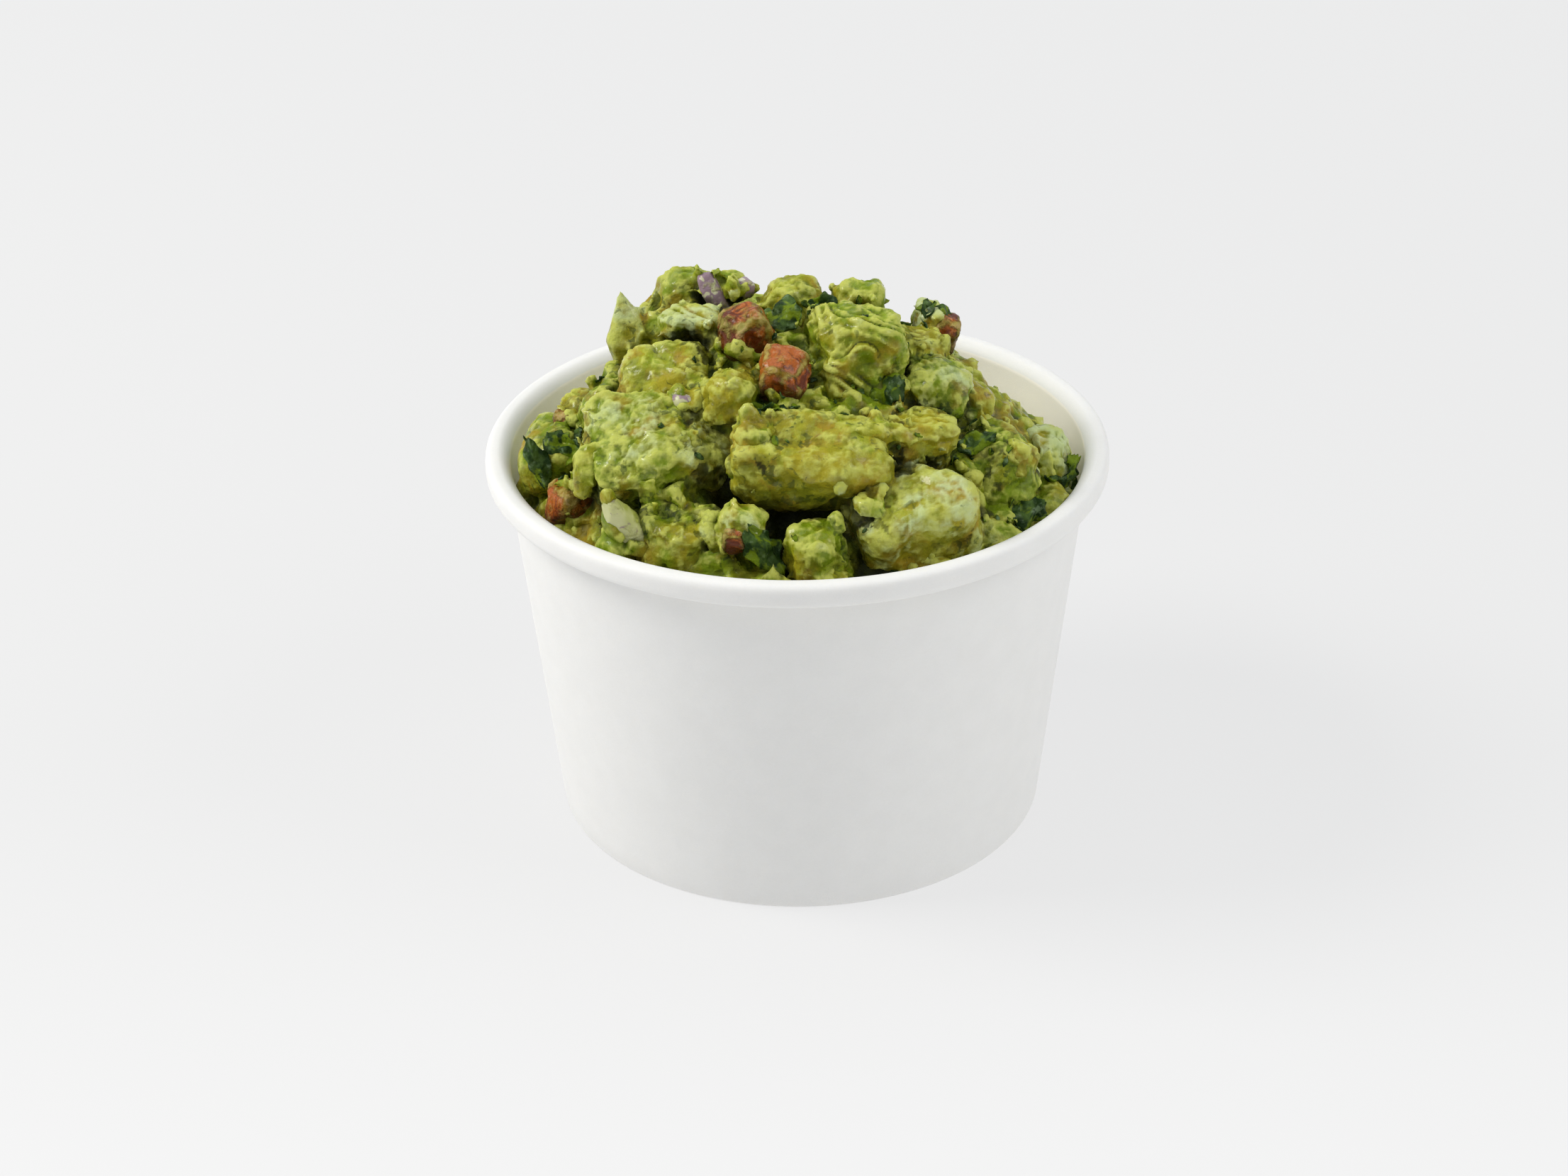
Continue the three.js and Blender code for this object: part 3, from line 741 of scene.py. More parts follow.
WARP = 1.1  # how far the seams between lumps wander
LUMP_SIZE, FINE_LUMP_SIZE = 2.7, 1.25
TEARS = ((0.28, 1.0), (0.7, 0.35), (1.5, 0.2))  # scale and share of each size of torn crest
PATCH_OFFSET, TEAR_OFFSET = Vector((5, 2, 8)), Vector((11, 3, 7))  # part one noise from another
FOLD = 0.32  # height of the curved ridges on the ridged pieces


def coordinates(mesh):
    flat = np.empty(len(mesh.vertices) * 3)
    mesh.vertices.foreach_get("co", flat)
    return flat.reshape(-1, 3)


def vertex_normals(mesh):
    flat = np.empty(len(mesh.vertices) * 3)
    mesh.vertex_normals.foreach_get("vector", flat)
    return flat.reshape(-1, 3)


def set_coordinates(mesh, points):
    mesh.vertices.foreach_set("co", points.ravel())
    mesh.update()


def applied(mesh, name, kind, **settings):
    """The mesh with one modifier applied."""
    holder = bpy.data.objects.new(name, mesh)
    bpy.context.scene.collection.objects.link(holder)
    modifier = holder.modifiers.new(name, kind)
    for key, value in settings.items():
        setattr(modifier, key, value)
    graph = bpy.context.evaluated_depsgraph_get()
    result = bpy.data.meshes.new_from_object(holder.evaluated_get(graph))
    bpy.data.objects.remove(holder)
    bpy.data.meshes.remove(mesh)
    return result


def averaged(values, edges, degree, passes):
    """Values smoothed over the mesh's edges."""
    for _ in range(passes):
        total = np.empty_like(values)
        for axis in range(values.shape[1]):
            column = values[:, axis]
            total[:, axis] = np.bincount(edges[:, 0], column[edges[:, 1]], len(column))
            total[:, axis] += np.bincount(edges[:, 1], column[edges[:, 0]], len(column))
        values = 0.5 * values + 0.5 * total / degree[:, None]
    return values


def form_of(mesh, passes=10, reach=0.55):
    """How proud each vertex stands, and how far it faces up.

    Proud is 0 in a hollow, 0.5 on the flat and 1 on a crumb.
    """
    points = coordinates(mesh)
    edges = np.empty(len(mesh.edges) * 2, dtype=np.int64)
    mesh.edges.foreach_get("vertices", edges)
    edges = edges.reshape(-1, 2)
    degree = np.maximum(np.bincount(edges.ravel(), minlength=len(points)), 1)
    smooth = averaged(points, edges, degree, passes)
    normals = vertex_normals(mesh)
    offset = ((points - smooth) * normals).sum(axis=1)
    return np.clip(0.5 + offset / (2 * reach), 0, 1), averaged(normals, edges, degree, passes)[:, 2]


def seam(distances):
    """1 in the seams between lumps, 0 on the lumps."""
    return max(0.0, 1 - (distances[1] - distances[0]) / 0.3)


def own_tone(centre):
    """A repeatable number from 0 to 1 for the lump with this centre."""
    s = math.sin(centre.x * 12.99 + centre.y * 78.23 + centre.z * 37.72) * 4375.85
    return s - math.floor(s)


def roughened(mesh, parts, relief, cup):
    """Moves the skin along its normals: swells, lumps parted by seams, torn crests, grooves and a fine grain.

    Stores each lump's own tone, and how crumbly the skin is there.
    """
    swell, lumps, tears, grooves, grain = relief
    points, normals = coordinates(mesh), vertex_normals(mesh)
    part_of = nearest_parts(points, parts)
    moved = np.empty(len(points))
    tones = np.empty((len(points), 3))
    frames = [(part.local(points), part.ridges, part.rough) for part in parts]
    for i, point in enumerate(points):
        p = Vector(point)
        warped = p + noise.noise_vector(p * 0.35) * WARP
        large, centres = noise.voronoi(warped / LUMP_SIZE)
        small, fine_centres = noise.voronoi(warped / FINE_LUMP_SIZE)
        patch = min(1.0, max(0.0, 0.6 + 2.2 * noise.noise(p * 0.13 + PATCH_OFFSET)))
        shift = swell * (noise.noise(p * 0.19) + 0.6 * noise.noise(p * 0.42)) + grain * noise.noise(p * 1.3)
        shift -= lumps * patch * (seam(large) + 0.4 * seam(small))
        for scale, amount in TEARS:
            crest = max(0.0, 1 - 2.6 * abs(noise.noise(p * scale + TEAR_OFFSET)))
            shift += tears * amount * (crest * crest - 0.3)
        k = part_of[i]
        if k >= 0:
            local, strength, share = frames[k]
            shift *= share
            q = local[i]
            bend = noise.noise(Vector(q) * 0.16) * 3.2
            across = q[0] * 0.65 + q[1] * 0.25 + q[2] * 0.7 + bend
            groove = abs(noise.noise(Vector((across * 0.48, q[1] * 0.10, q[2] * 0.10))))
            shift -= grooves * share * strength * max(0.0, 1 - 3.2 * groove)
            shift += FOLD * strength**4 * math.sin(2.6 * across) * (0.5 + noise.noise(p * 0.3))
        moved[i] = shift
        tones[i] = own_tone(centres[0]), own_tone(fine_centres[0]), patch
    clear = cup.inside(points[:, 2]) - np.hypot(points[:, 0], points[:, 1])
    moved *= np.clip(clear / 3.0, 0.1, 1)
    set_coordinates(mesh, points + normals * moved[:, None])
    for name, values in zip(("tone", "fine_tone", "crumbly"), tones.T):
        set_attribute(mesh, name, values)


def kept_in_cup(points, cup):
    """Points drawn in to the food's side of the cup's wall."""
    radius = np.hypot(points[:, 0], points[:, 1])
    share = np.minimum(1, cup.inside(points[:, 2]) / np.maximum(radius, 1e-6))
    points[:, :2] *= share[:, None]
    points[:, 2] = np.maximum(points[:, 2], DISC_TOP + GAP)
    return points


def nearest_parts(points, parts, farthest=1.6):
    """For each point the index of the piece that it belongs to, or -1."""
    part_of = np.full(len(points), -1)
    nearest = np.full(len(points), farthest)
    for k, part in enumerate(parts):
        reach = np.abs(part.inside(points)).max(axis=1)
        closer = reach < nearest
        part_of[closer] = k
        nearest[closer] = reach[closer]
    return part_of


def moulded(bm, name, heap, cup, parts, relief, coarser=1.0, soften=2):
    """Overlapping closed shapes melted into one crumbly skin, roughened and trimmed to the cup."""
    mesh = from_bmesh(bm, name)
    voxel = heap.grain / MM * coarser * 1.0
    mesh = applied(mesh, name, "REMESH", mode="VOXEL", voxel_size=voxel, adaptivity=0.0)
    mesh = applied(mesh, name, "SMOOTH", factor=0.5, iterations=soften)
    roughened(mesh, parts, relief, cup)
    set_coordinates(mesh, kept_in_cup(coordinates(mesh), cup))
    paint_flesh(mesh, parts, heap, cup)
    triangles = sum(len(p.vertices) - 2 for p in mesh.polygons)
    if triangles > heap.triangles:
        mesh = applied(mesh, name, "DECIMATE", ratio=heap.triangles / triangles)
    return mesh


def set_attribute(mesh, name, values):
    attribute = mesh.attributes.new(name, "FLOAT", "POINT")
    attribute.data.foreach_set("value", np.asarray(values, dtype=np.float32))


def attribute_values(mesh, name):
    values = np.empty(len(mesh.vertices), dtype=np.float32)
    mesh.attributes[name].data.foreach_get("value", values)
    return values


def paint_flesh(mesh, parts, heap, cup, base=0.4):
    """Ripeness, proudness and closeness to a gap of the food at each vertex."""
    points = coordinates(mesh)
    ripe = np.full(len(points), base)
    part_of = nearest_parts(points, parts)
    rim, milk = np.zeros((2, len(points)))
    for k, part in enumerate(parts):
        here = part_of == k
        shares = np.sort(np.abs(part.inside(points[here])), axis=1)
        milk[here] = part.milk
        rim[here] = np.clip((shares[:, 1] / shares[:, 2] - 0.6) / 0.35, 0, 1)
        axis = np.array(random_direction(random.Random(part.seed * 13 + 5)))
        axis[2] = abs(axis[2]) if part.kind in ("onion", "tomato") else -abs(axis[2])
        ripe[here] = part.ripe + 0.3 * (part.inside(points[here]) @ axis)
    tree, _, open_shares = openness(cup.height, heap.crown / MM)
    gap = np.empty(len(points))
    for i, point in enumerate(points):
        found = tree.find_n(point, 3)
        gap[i] = 1 - sum(open_shares[index] for _, index, _ in found) / 3
    # The mash counts its sunken hollows as gaps too, so they take the painted shade of the gaps
    if not parts:
        gap = np.maximum(gap, np.clip(hollow_depth(points[:, 0], points[:, 1]) / 6, 0, 1))
    set_attribute(mesh, "ripe", np.clip(ripe, 0, 1))
    set_attribute(mesh, "rim", rim)
    set_attribute(mesh, "milk", milk)
    proud, up = form_of(mesh)
    set_attribute(mesh, "proud", proud)
    set_attribute(mesh, "up", up)
    set_attribute(mesh, "gap", gap)


def finished(mesh, name, material, node):
    """The object of a mesh worked out in millimetres: in metres, smooth, riding on the cup."""
    mesh.transform(Matrix.Scale(MM, 4))
    mesh.shade_smooth()
    mesh.name = name
    mesh.materials.clear()
    mesh.materials.append(material)
    piece = bpy.data.objects.new(name, mesh)
    bpy.context.scene.collection.objects.link(piece)
    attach(piece, "root")
    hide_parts(node)
    return piece


def from_bmesh(bm, name):
    mesh = bpy.data.meshes.new(name)
    bm.to_mesh(mesh)
    bm.free()
    return mesh


# ---------------------------------------------------------------- operators


def circular(_angle):
    """Power of a circle's curve."""
    return 2.0


def lip_curve(angle):
    """Power of the lip's curve: flat in front, falling away towards the inside."""
    return LIP_FLATNESS if angle < math.pi / 2 else LIP_FALL


def arc(centre_r, centre_z, radius, start, end, steps, curve=circular):
    """Points of an arc in degrees, or of one that is squarer or sharper at some angles."""
    points = []
    for i in range(steps + 1):
        a = math.radians(start + (end - start) * i / steps)
        power = curve(a)
        reach = radius * (abs(math.cos(a)) ** power + abs(math.sin(a)) ** power) ** (-1 / power)
        points.append((centre_r + reach * math.cos(a), centre_z + reach * math.sin(a)))
    return points


def spun(profile, steps):
    """A closed outline of (radius, z) points turned once round the Z axis."""
    bm = bmesh.new()
    verts = [bm.verts.new((r, 0, z)) for r, z in profile]
    pairs = zip(verts, [*verts[1:], verts[0]])
    edges = [bm.edges.new(pair) for pair in pairs if (pair[0].co - pair[1].co).length > 1e-6]
    bmesh.ops.spin(
        bm, geom=verts + edges, cent=(0, 0, 0), axis=(0, 0, 1), angle=2 * math.pi, steps=steps, use_merge=True
    )
    bmesh.ops.remove_doubles(bm, verts=bm.verts, dist=1e-4)
    bmesh.ops.dissolve_degenerate(bm, edges=bm.edges, dist=1e-5)
    bmesh.ops.recalc_face_normals(bm, faces=bm.faces)
    return bm


def spaced(start, end, steps):
    """Points along a straight stretch, both ends left out."""
    return [
        (start[0] + (end[0] - start[0]) * i / steps, start[1] + (end[1] - start[1]) * i / steps)
        for i in range(1, steps)
    ]


def split(parts):
    """The pieces that are placed one by one, and those set by a rule at the back."""
    placed = [part for part in parts if part.seed < len(PLACED)]
    return placed, [part for part in parts if part.seed >= len(PLACED)]


class FoodOperator:
    """What the operators of the food share."""

    def execute(self, context):
        scene = context.scene
        self.build(Cup(scene.guacamole_cup), scene.guacamole_heap, scene.guacamole_colours)
        return {"FINISHED"}


class DiceOperator(FoodOperator):
    """Moulds all pieces of one kind, with no crumbs on them."""

    def build(self, cup, heap, colours):
        parts = blocks(cup, heap.crown / MM, self.kind)
        bm = bmesh.new()
        for part in parts:
            part.add_to(bm, 4)
        mesh = moulded(bm, self.piece, heap, cup, parts, relief=self.relief)
        finished(mesh, self.piece, self.finish(colours), "guacamole")


class GUACAMOLE_OT_cup_side(bpy.types.Operator):
    """Spin the paper side wall with its rolled lip and the hem inside the foot"""

    bl_idname = "guacamole.cup_side"
    bl_label = "Cup side"

    def execute(self, context):
        cup = Cup(context.scene.guacamole_cup)
        hem_outer = cup.board * 2 + GAP * 2
        hem_inner = hem_outer + cup.board
        soft = 0.25
        foot = [
            (cup.outer(0) - hem_inner, soft),
            (cup.outer(0) - hem_inner + soft, 0),
            (cup.outer(0) - soft * 1.6, 0),
            (cup.outer(0) - soft * 0.4, soft * 0.4),
            (cup.outer(soft * 1.6), soft * 1.6),
        ]
        curl = arc(cup.lip_r, cup.lip_z, cup.lip / 2 - cup.board, 180, -115, 20, lip_curve)
        roll = arc(cup.lip_r, cup.lip_z, cup.lip / 2, -115, 180, 44, lip_curve)
        inner_top = roll[-1]
        inner_foot = (cup.outer(cup.board) - cup.board, cup.board)
        hem = [
            (cup.outer(cup.board) - hem_outer, cup.board),
            (cup.outer(HEM_HEIGHT) - hem_outer, HEM_HEIGHT),
            (cup.outer(HEM_HEIGHT) - hem_inner, HEM_HEIGHT),
        ]
        profile = [*foot, *spaced(foot[-1], curl[0], 24), *curl, *roll]
        profile += [*spaced(inner_top, inner_foot, 12), inner_foot, *hem]
        bm = spun(profile, 256)
        self.press_seam(bm, cup)
        mesh = from_bmesh(bm, "cup_side")
        points = coordinates(mesh)
        in_from_face = cup.outer(points[:, 2]) - np.hypot(points[:, 0], points[:, 1])
        # Inner face below the lip, painted lighter and warmer: partly the coating, partly painted bounce
        # light from the food
        lining_and_bounce = np.clip((in_from_face - 0.3) / 0.4, 0, 1) * (points[:, 2] < cup.lip_z + 0.6)
        set_attribute(mesh, "lining_and_bounce", lining_and_bounce)
        piece = finished(mesh, "cup_side", paper_finish(context.scene.guacamole_cup), "cup_wall")
        piece.data.set_sharp_from_angle(angle=SHARP_ANGLE)
        return {"FINISHED"}

    @staticmethod
    def press_seam(bm, cup):
        """The glued overlap down the back of the wall: a band a little proud, soft on one edge."""
        width = math.radians(9)
        step = 0.18
        for v in bm.verts:
            radius = math.hypot(v.co.x, v.co.y)
            turn = math.atan2(v.co.x, v.co.y)
            on_face = abs(radius - cup.outer(v.co.z)) < 0.05 and v.co.z < cup.lip_z - 1
            if on_face and abs(turn) < width:
                rise = step * min(1, (width - abs(turn)) / math.radians(1.5) + (turn > 0))
                v.co.x *= 1 + rise / radius
                v.co.y *= 1 + rise / radius


class GUACAMOLE_OT_cup_base(bpy.types.Operator):
    """Spin the recessed bottom disc with its skirt in the hem"""

    bl_idname = "guacamole.cup_base"
    bl_label = "Cup base"

    def execute(self, context):
        cup = Cup(context.scene.guacamole_cup)
        skirt_foot = cup.board + GAP
        under = DISC_TOP - cup.board

        def outer(z):
            return cup.outer(z) - cup.board - GAP

        top_edge = arc(outer(DISC_TOP) - 0.5, DISC_TOP - 0.5, 0.5, 0, 90, 5)
        profile = [
            (0, under),
            (outer(under) - cup.board - 0.6, under),
            (outer(under) - cup.board, under - 0.6),
            (outer(skirt_foot) - cup.board, skirt_foot),
            (outer(skirt_foot), skirt_foot),
            *top_edge,
            (0, DISC_TOP),
        ]
        bm = spun(profile, 128)
        mesh = from_bmesh(bm, "cup_base")
        piece = finished(mesh, "cup_base", bpy.data.materials["paper"], "cup_bottom")
        piece.data.set_sharp_from_angle(angle=SHARP_ANGLE)
        return {"FINISHED"}


class GUACAMOLE_OT_mash(FoodOperator, bpy.types.Operator):
    """Mould the mashed core that fills the cup, lumpy on top"""

    bl_idname = "guacamole.mash"
    bl_label = "Mashed core"

    def build(self, cup, heap, colours):
        crown = heap.crown / MM
        floor = DISC_TOP + GAP
        corner = (float(cup.inside(floor)), floor)
        widest = float(cup.inside(cup.height))
        rings = 40
        profile = [(0, floor), *spaced((0, floor), corner, 8), corner]
        profile += spaced(corner, (widest, cup.height), 10)
        profile += [(widest * i / rings, cup.height) for i in range(rings, -1, -1)]
        bm = spun(profile, 128)
        draw = random.Random(404)
        for v in bm.verts:
            x, y = v.co.x, v.co.y
            bumps = 1.3 * math.sin(0.55 * x + 0.9) * math.sin(0.5 * y - 0.4)
            top = cup.height + float(core_level(x, y, crown) - hollow_depth(x, y)) + bumps
            v.co.z = floor + (v.co.z - floor) * (top - floor) / (cup.height - floor)
            share = min(1, float(cup.inside(v.co.z)) / max(math.hypot(x, y), 1e-6))
            v.co.x, v.co.y = x * share, y * share
        crumbs = []
        for i in range(MASH_CRUMBS):
            out = (widest - 3) * math.sqrt((i + 0.5) / MASH_CRUMBS)
            x, y = out * math.cos(i * GOLDEN_ANGLE), out * math.sin(i * GOLDEN_ANGLE)
            if hollow_depth(x, y) > 2:
                continue
            level = float(core_level(x, y, crown))
            centre = (x, y, cup.height + level + draw.uniform(-0.6, 0.6))
            crumbs.append((centre, 0.8 + 2.2 * draw.random() ** 3))
        add_crumbs(bm, crumbs, draw)
        mesh = moulded(bm, "mash", heap, cup, [], relief=(0.8, 0.4, 0.4, 0, 0.2), coarser=1.7)
        finished(mesh, "mash", flesh_finish("mashed_flesh", colours), "guacamole")


class GUACAMOLE_OT_chunks(FoodOperator, bpy.types.Operator):
    """Mould the large avocado chunks with the crumbs and folds on them"""

    bl_idname = "guacamole.chunks"
    bl_label = "Avocado chunks"

    relief = (0.9, 0.12, 0.34, 0.7, 0.16)

    def build(self, cup, heap, colours):
        front, back = split(blocks(cup, heap.crown / MM, "chunk"))
        finish = flesh_finish("cut_flesh", colours)
        for name, group, coarser in (("avocado_chunks", front, 0.8), ("back_chunks", back, 1.2)):
            bm = bmesh.new()
            for part in group:
                part.add_to(bm, 4, sunk=0.4)
                part.add_crumbs(bm, 0.14, 0.4, 1.5, sunk=0.8)
            mesh = moulded(bm, name, heap, cup, group, self.relief, coarser, soften=3)
            finished(mesh, name, finish, "guacamole")


class GUACAMOLE_OT_bits(FoodOperator, bpy.types.Operator):
    """Mould the smaller avocado bits, and the mash that clings to tomato and onion"""

    bl_idname = "guacamole.bits"
    bl_label = "Avocado bits"

    relief = (0.9, 0.18, 0.34, 0.4, 0.16)

    def build(self, cup, heap, colours):
        crown = heap.crown / MM
        front, back = split(blocks(cup, crown, "bit"))
        finish = flesh_finish("soft_flesh", colours)
        for name, group, coarser in (("avocado_bits", front, 0.9), ("back_bits", back, 1.2)):
            bm = bmesh.new()
            for part in group:
                part.add_to(bm, 3, sunk=0.4)
                part.add_crumbs(bm, 0.16, 0.4, 1.2, sunk=0.7)
            if group is front:
                for part in blocks(cup, crown, "tomato", "onion"):
                    part.add_crumbs(bm, 0.2, 0.4, 0.9, sunk=0.3)
                self.pack_nooks(bm, cup, crown)
            mesh = moulded(bm, name, heap, cup, group, self.relief, coarser, soften=3)
            finished(mesh, name, finish, "guacamole")

    @staticmethod
    def pack_nooks(bm, cup, crown):
        """Crumbs where pieces meet: on points that are partly closed in."""
        draw = random.Random(23)
        _, points, shares = openness(cup.height, crown)
        nooks = [p for p, share in zip(points, shares) if 0.3 < share < 0.7 and p.z > cup.height - 6]
        crumbs = []
        for p in draw.sample(nooks, min(NOOK_CRUMBS, len(nooks))):
            if hollow_depth(p.x, p.y) < 3 or p.z > cup.height + 6:
                centre = p + random_direction(draw) * draw.uniform(0, 1.4)
                crumbs.append((centre, 0.6 + 1.5 * draw.random() ** 2))
        add_crumbs(bm, crumbs, draw)


class GUACAMOLE_OT_tomato(DiceOperator, bpy.types.Operator):
    """Mould the diced tomato"""

    bl_idname = "guacamole.tomato"
    bl_label = "Diced tomato"
    kind, piece = "tomato", "tomato_dice"
    relief = (0.5, 0, 0.35, 0.3, 0.1)
    finish = staticmethod(tomato_finish)


class GUACAMOLE_OT_onion(DiceOperator, bpy.types.Operator):
    """Mould the chopped red onion"""

    bl_idname = "guacamole.onion"
    bl_label = "Red onion"
    kind, piece = "onion", "red_onion"
    relief = (0.3, 0, 0.12, 0.2, 0.06)
    finish = staticmethod(onion_finish)


def add_leaf(bm, place, size, seed, along, across):
    """A crumpled, torn scrap of leaf on a grid of so many steps along and across."""
    long, _, wide = size
    curl = 0.5 * (-1) ** seed
    verts = bmesh.ops.create_grid(bm, x_segments=along, y_segments=across, size=0.5)["verts"]
    for v in verts:
        u, side = v.co.x, v.co.y
        torn = noise.noise(Vector((4.2 * u, 0.9 * math.copysign(1, side), 1.7 * seed)))
        outline = (0.2 + 0.8 * math.cos(math.pi * 0.92 * u)) * (1 + 0.8 * torn)
        place_in = Vector((u + 0.12 * noise.noise(Vector((5 * side, seed, 0))), side * outline))
        fold = curl * (u * u - 0.1) + 0.5 * abs(place_in.y)
        crumple = 0.3 * noise.noise(Vector((3.4 * place_in.x, 3.4 * place_in.y, 2.3 * seed)))
        v.co = place @ Vector((place_in.x * long, (fold * 0.5 + crumple) * min(long, 6), place_in.y * wide))
    faces = list(dict.fromkeys(f for v in verts for f in v.link_faces))
    bmesh.ops.solidify(bm, geom=faces, thickness=LEAF_THICKNESS)


class GUACAMOLE_OT_leaves(FoodOperator, bpy.types.Operator):
    """Lay torn coriander leaves and chopped flecks of leaf on the heap"""

    bl_idname = "guacamole.leaves"
    bl_label = "Coriander"

    def build(self, cup, heap, colours):
        bm = bmesh.new()
        for seed, ((x, y, level), size, turn) in enumerate(LEAVES):
            spin = Euler([math.radians(a) for a in turn]).to_matrix().to_4x4()
            add_leaf(bm, Matrix.Translation((x, y, cup.height + level)) @ spin, size, seed, 22, 14)
        self.scatter(bm, heap, cup)
        mesh = from_bmesh(bm, "coriander")
        set_coordinates(mesh, kept_in_cup(coordinates(mesh), cup))
        finished(mesh, "coriander", leaf_finish(colours), "guacamole")

    @staticmethod
    def scatter(bm, heap, cup):
        """Flecks on the soft food wherever it faces up or out, most of them in its nooks."""
        draw = random.Random(77)
        grounds = [bpy.data.objects[name].data for name in ("avocado_chunks", "avocado_bits", "mash")]
        tables = [(coordinates(m) / MM, vertex_normals(m), attribute_values(m, "gap")) for m in grounds]
        leaves = KDTree(len(LEAVES))
        for i, ((x, y, level), _, _) in enumerate(LEAVES):
            leaves.insert((x, y, cup.height + level), i)
        leaves.balance()
        placed = 0
        while placed < heap.flecks:
            points, normals, gaps = tables[draw.randrange(len(tables))]
            i = draw.randrange(len(points))
            point, normal = Vector(points[i]), Vector(normals[i])
            near = math.exp(-((leaves.find(point)[2] / 5) ** 2))
            hidden = point.z < cup.height - 9 or normal.z < -0.1
            if hidden or draw.random() > 0.8 * near + 0.5 * gaps[i] ** 1.5 + 0.003:
                continue
            across = (random_direction(draw).cross(normal)).normalized()
            other = normal.cross(across)
            tilt = draw.uniform(-0.35, 0.35)
            face = (normal + across * tilt).normalized()
            along = face.cross(other).normalized()
            turn = Matrix((along, face, along.cross(face))).transposed().to_4x4()
            long = 0.8 + (1.0 + 2.5 * near) * draw.random() ** 2
            size = (long, LEAF_THICKNESS, long * draw.uniform(0.35, 0.8))
            place = Matrix.Translation(point + normal * 0.2) @ turn
            add_leaf(bm, place, size, placed, 4, 2)
            placed += 1


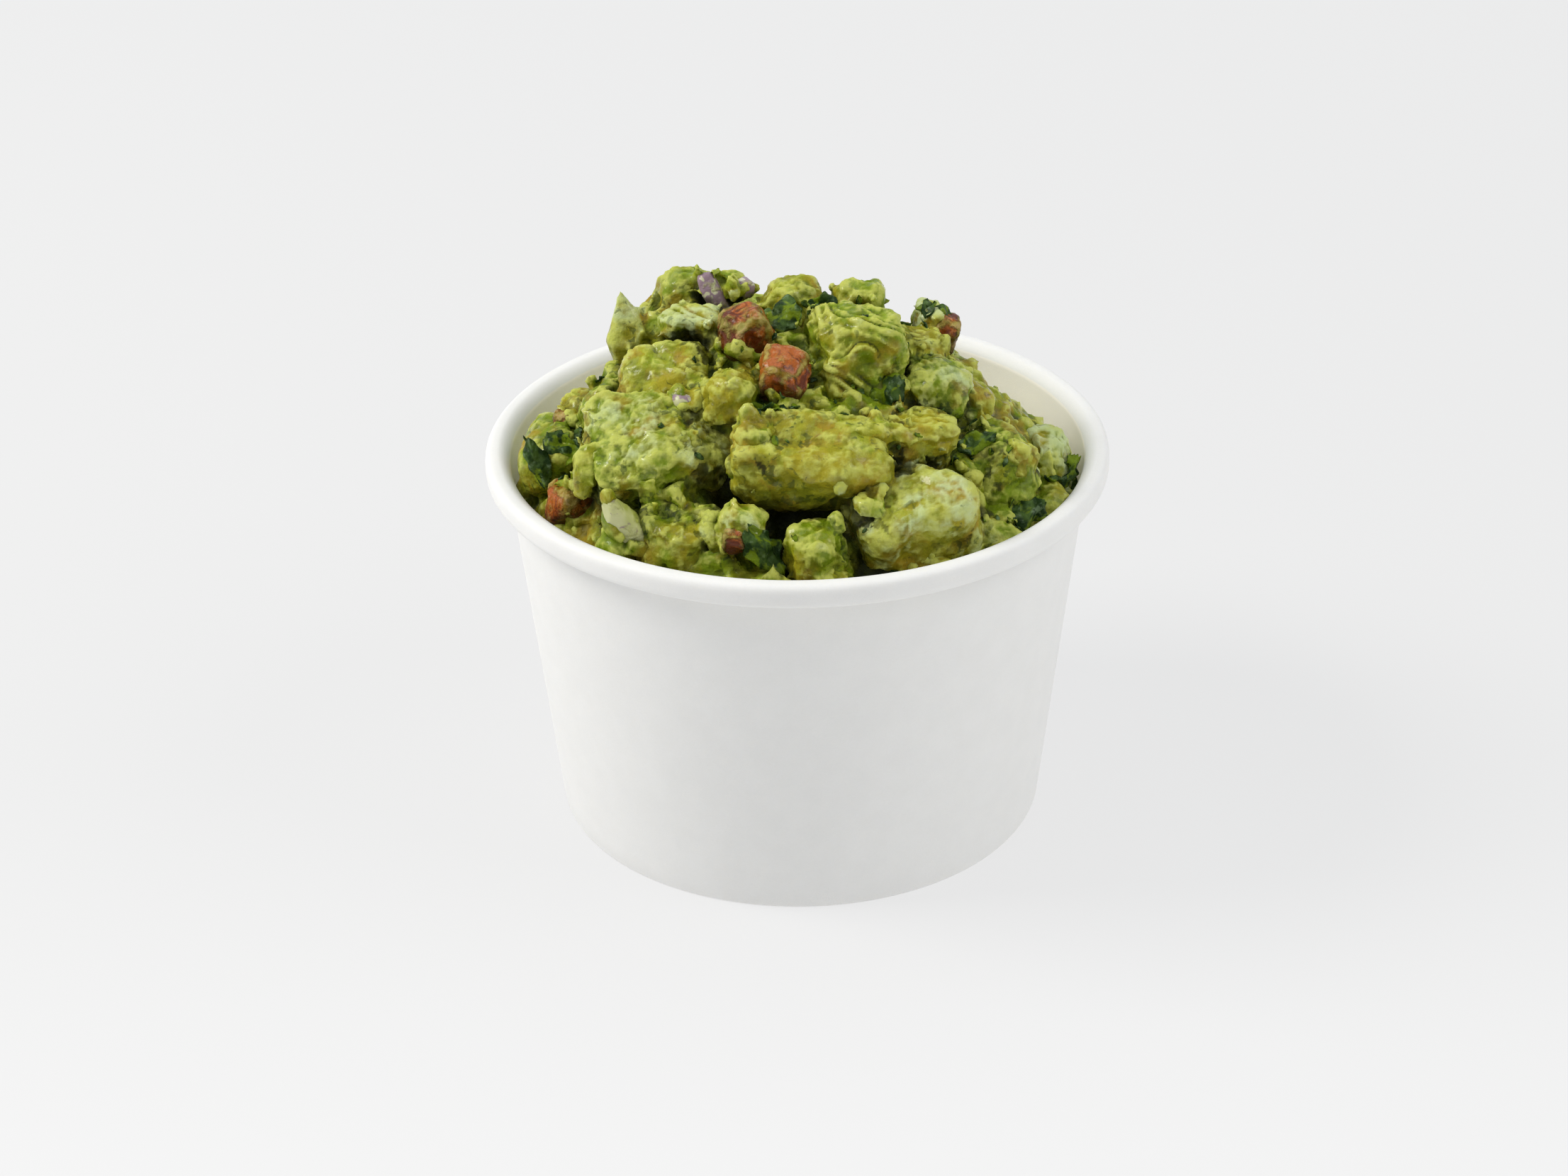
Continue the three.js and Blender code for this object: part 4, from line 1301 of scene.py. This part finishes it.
class GUACAMOLE_OT_stage(bpy.types.Operator):
    """Lay the pale floor, hang the soft lights and set up the camera"""

    bl_idname = "guacamole.stage"
    bl_label = "Stage"

    def execute(self, context):
        stage = context.scene.guacamole_stage
        self.lay_floor(stage)
        self.hang_lights(stage)
        self.set_camera(context.scene, stage)
        context.scene.view_settings.view_transform = "Standard"
        return {"FINISHED"}

    @staticmethod
    def lay_floor(stage):
        bm = bmesh.new()
        bmesh.ops.create_circle(bm, cap_ends=True, segments=96, radius=6.0)
        mesh = from_bmesh(bm, "floor")
        g = Graph("floor")
        nearness = g.add("ShaderNodeSeparateXYZ", {}, {"Vector": g.place}, output="Y")
        white = tuple(stage.floor)
        middle, far, paint = (tuple(share * c for c in white) for share in (0.87, 0.955, 0.2))
        glow = g.mix(1 - nearness.step(-0.2, 0.02), middle, white)
        glow = g.mix(nearness.step(0.05, 0.9), glow, far)
        mesh.materials.append(
            g.finish(Base_Color=paint, Roughness=0.9, Emission_Color=glow, Emission_Strength=stage.glow)
        )
        floor = bpy.data.objects.new("floor", mesh)
        bpy.context.scene.collection.objects.link(floor)

    @staticmethod
    def hang_lights(stage):
        world = bpy.data.worlds.new("studio")
        world.use_nodes = True
        sky = world.node_tree.nodes["Background"]
        sky.inputs["Color"].default_value = (0.95, 0.97, 1.0, 1.0)
        sky.inputs["Strength"].default_value = stage.sky
        bpy.context.scene.world = world
        aim = Vector((0, 0, 0.06))
        for name, power, size, tint, place in (
            ("key", stage.key, 0.35, (1.0, 0.98, 0.94), Vector((-0.57, 0.0, 0.58))),
            ("fill", stage.fill, 0.45, (1.0, 0.99, 0.97), Vector((0.56, -0.14, 0.52))),
            ("top", stage.top, 0.50, (0.92, 0.98, 1.0), Vector((0.05, 0.30, 0.85))),
        ):
            lamp = bpy.data.lights.new(name, "AREA")
            lamp.energy = power
            lamp.size = size
            lamp.color = tint
            light = bpy.data.objects.new(name, lamp)
            light.location = place
            light.rotation_mode = "QUATERNION"
            light.rotation_quaternion = (aim - place).to_track_quat("-Z", "Y")
            bpy.context.scene.collection.objects.link(light)

    @staticmethod
    def set_camera(scene, stage):
        aim = Vector((-0.00234, 0, 0.0349))
        back = Vector((0, -math.cos(stage.elevation), math.sin(stage.elevation)))
        right = Vector((1, 0, 0))
        up = back.cross(right)
        turned_right = right * math.cos(stage.roll) + up * math.sin(stage.roll)
        turned_up = up * math.cos(stage.roll) - right * math.sin(stage.roll)
        lens = bpy.data.cameras.new("camera")
        lens.lens = stage.lens
        lens.sensor_width = 36
        camera = bpy.data.objects.new("camera", lens)
        turn = Matrix((turned_right, turned_up, back)).transposed().to_4x4()
        camera.matrix_world = Matrix.Translation(aim + back * stage.distance) @ turn
        scene.collection.objects.link(camera)
        scene.camera = camera


class GUACAMOLE_PT_panel(bpy.types.Panel):
    """Lists the cup's pieces and their settings"""

    bl_idname = "GUACAMOLE_PT_panel"
    bl_label = "Guacamole cup"
    bl_space_type = "VIEW_3D"
    bl_region_type = "UI"
    bl_category = "Guacamole"

    def draw(self, context):
        for name, group in SETTINGS.items():
            box = self.layout.box()
            for prop in group.__annotations__:
                box.prop(getattr(context.scene, name), prop)
        for operator in OPERATORS:
            self.layout.operator(operator.bl_idname)


SETTINGS = {
    "guacamole_cup": CupSettings,
    "guacamole_heap": HeapSettings,
    "guacamole_colours": FoodColours,
    "guacamole_stage": StageSettings,
}
OPERATORS = (
    GUACAMOLE_OT_cup_side,
    GUACAMOLE_OT_cup_base,
    GUACAMOLE_OT_mash,
    GUACAMOLE_OT_chunks,
    GUACAMOLE_OT_bits,
    GUACAMOLE_OT_tomato,
    GUACAMOLE_OT_onion,
    GUACAMOLE_OT_leaves,
    GUACAMOLE_OT_stage,
)


def register():
    noise.seed_set(NOISE_SEED)
    for kind in (*SETTINGS.values(), *OPERATORS, GUACAMOLE_PT_panel):
        bpy.utils.register_class(kind)
    for name, group in SETTINGS.items():
        setattr(bpy.types.Scene, name, PointerProperty(type=group))


def unregister():
    for name in SETTINGS:
        delattr(bpy.types.Scene, name)
    for kind in (GUACAMOLE_PT_panel, *reversed(OPERATORS), *SETTINGS.values()):
        bpy.utils.unregister_class(kind)


def main():
    register()
    for operator in OPERATORS:
        category, name = operator.bl_idname.split(".")
        getattr(getattr(bpy.ops, category), name)()


if __name__ == "__main__":
    main()
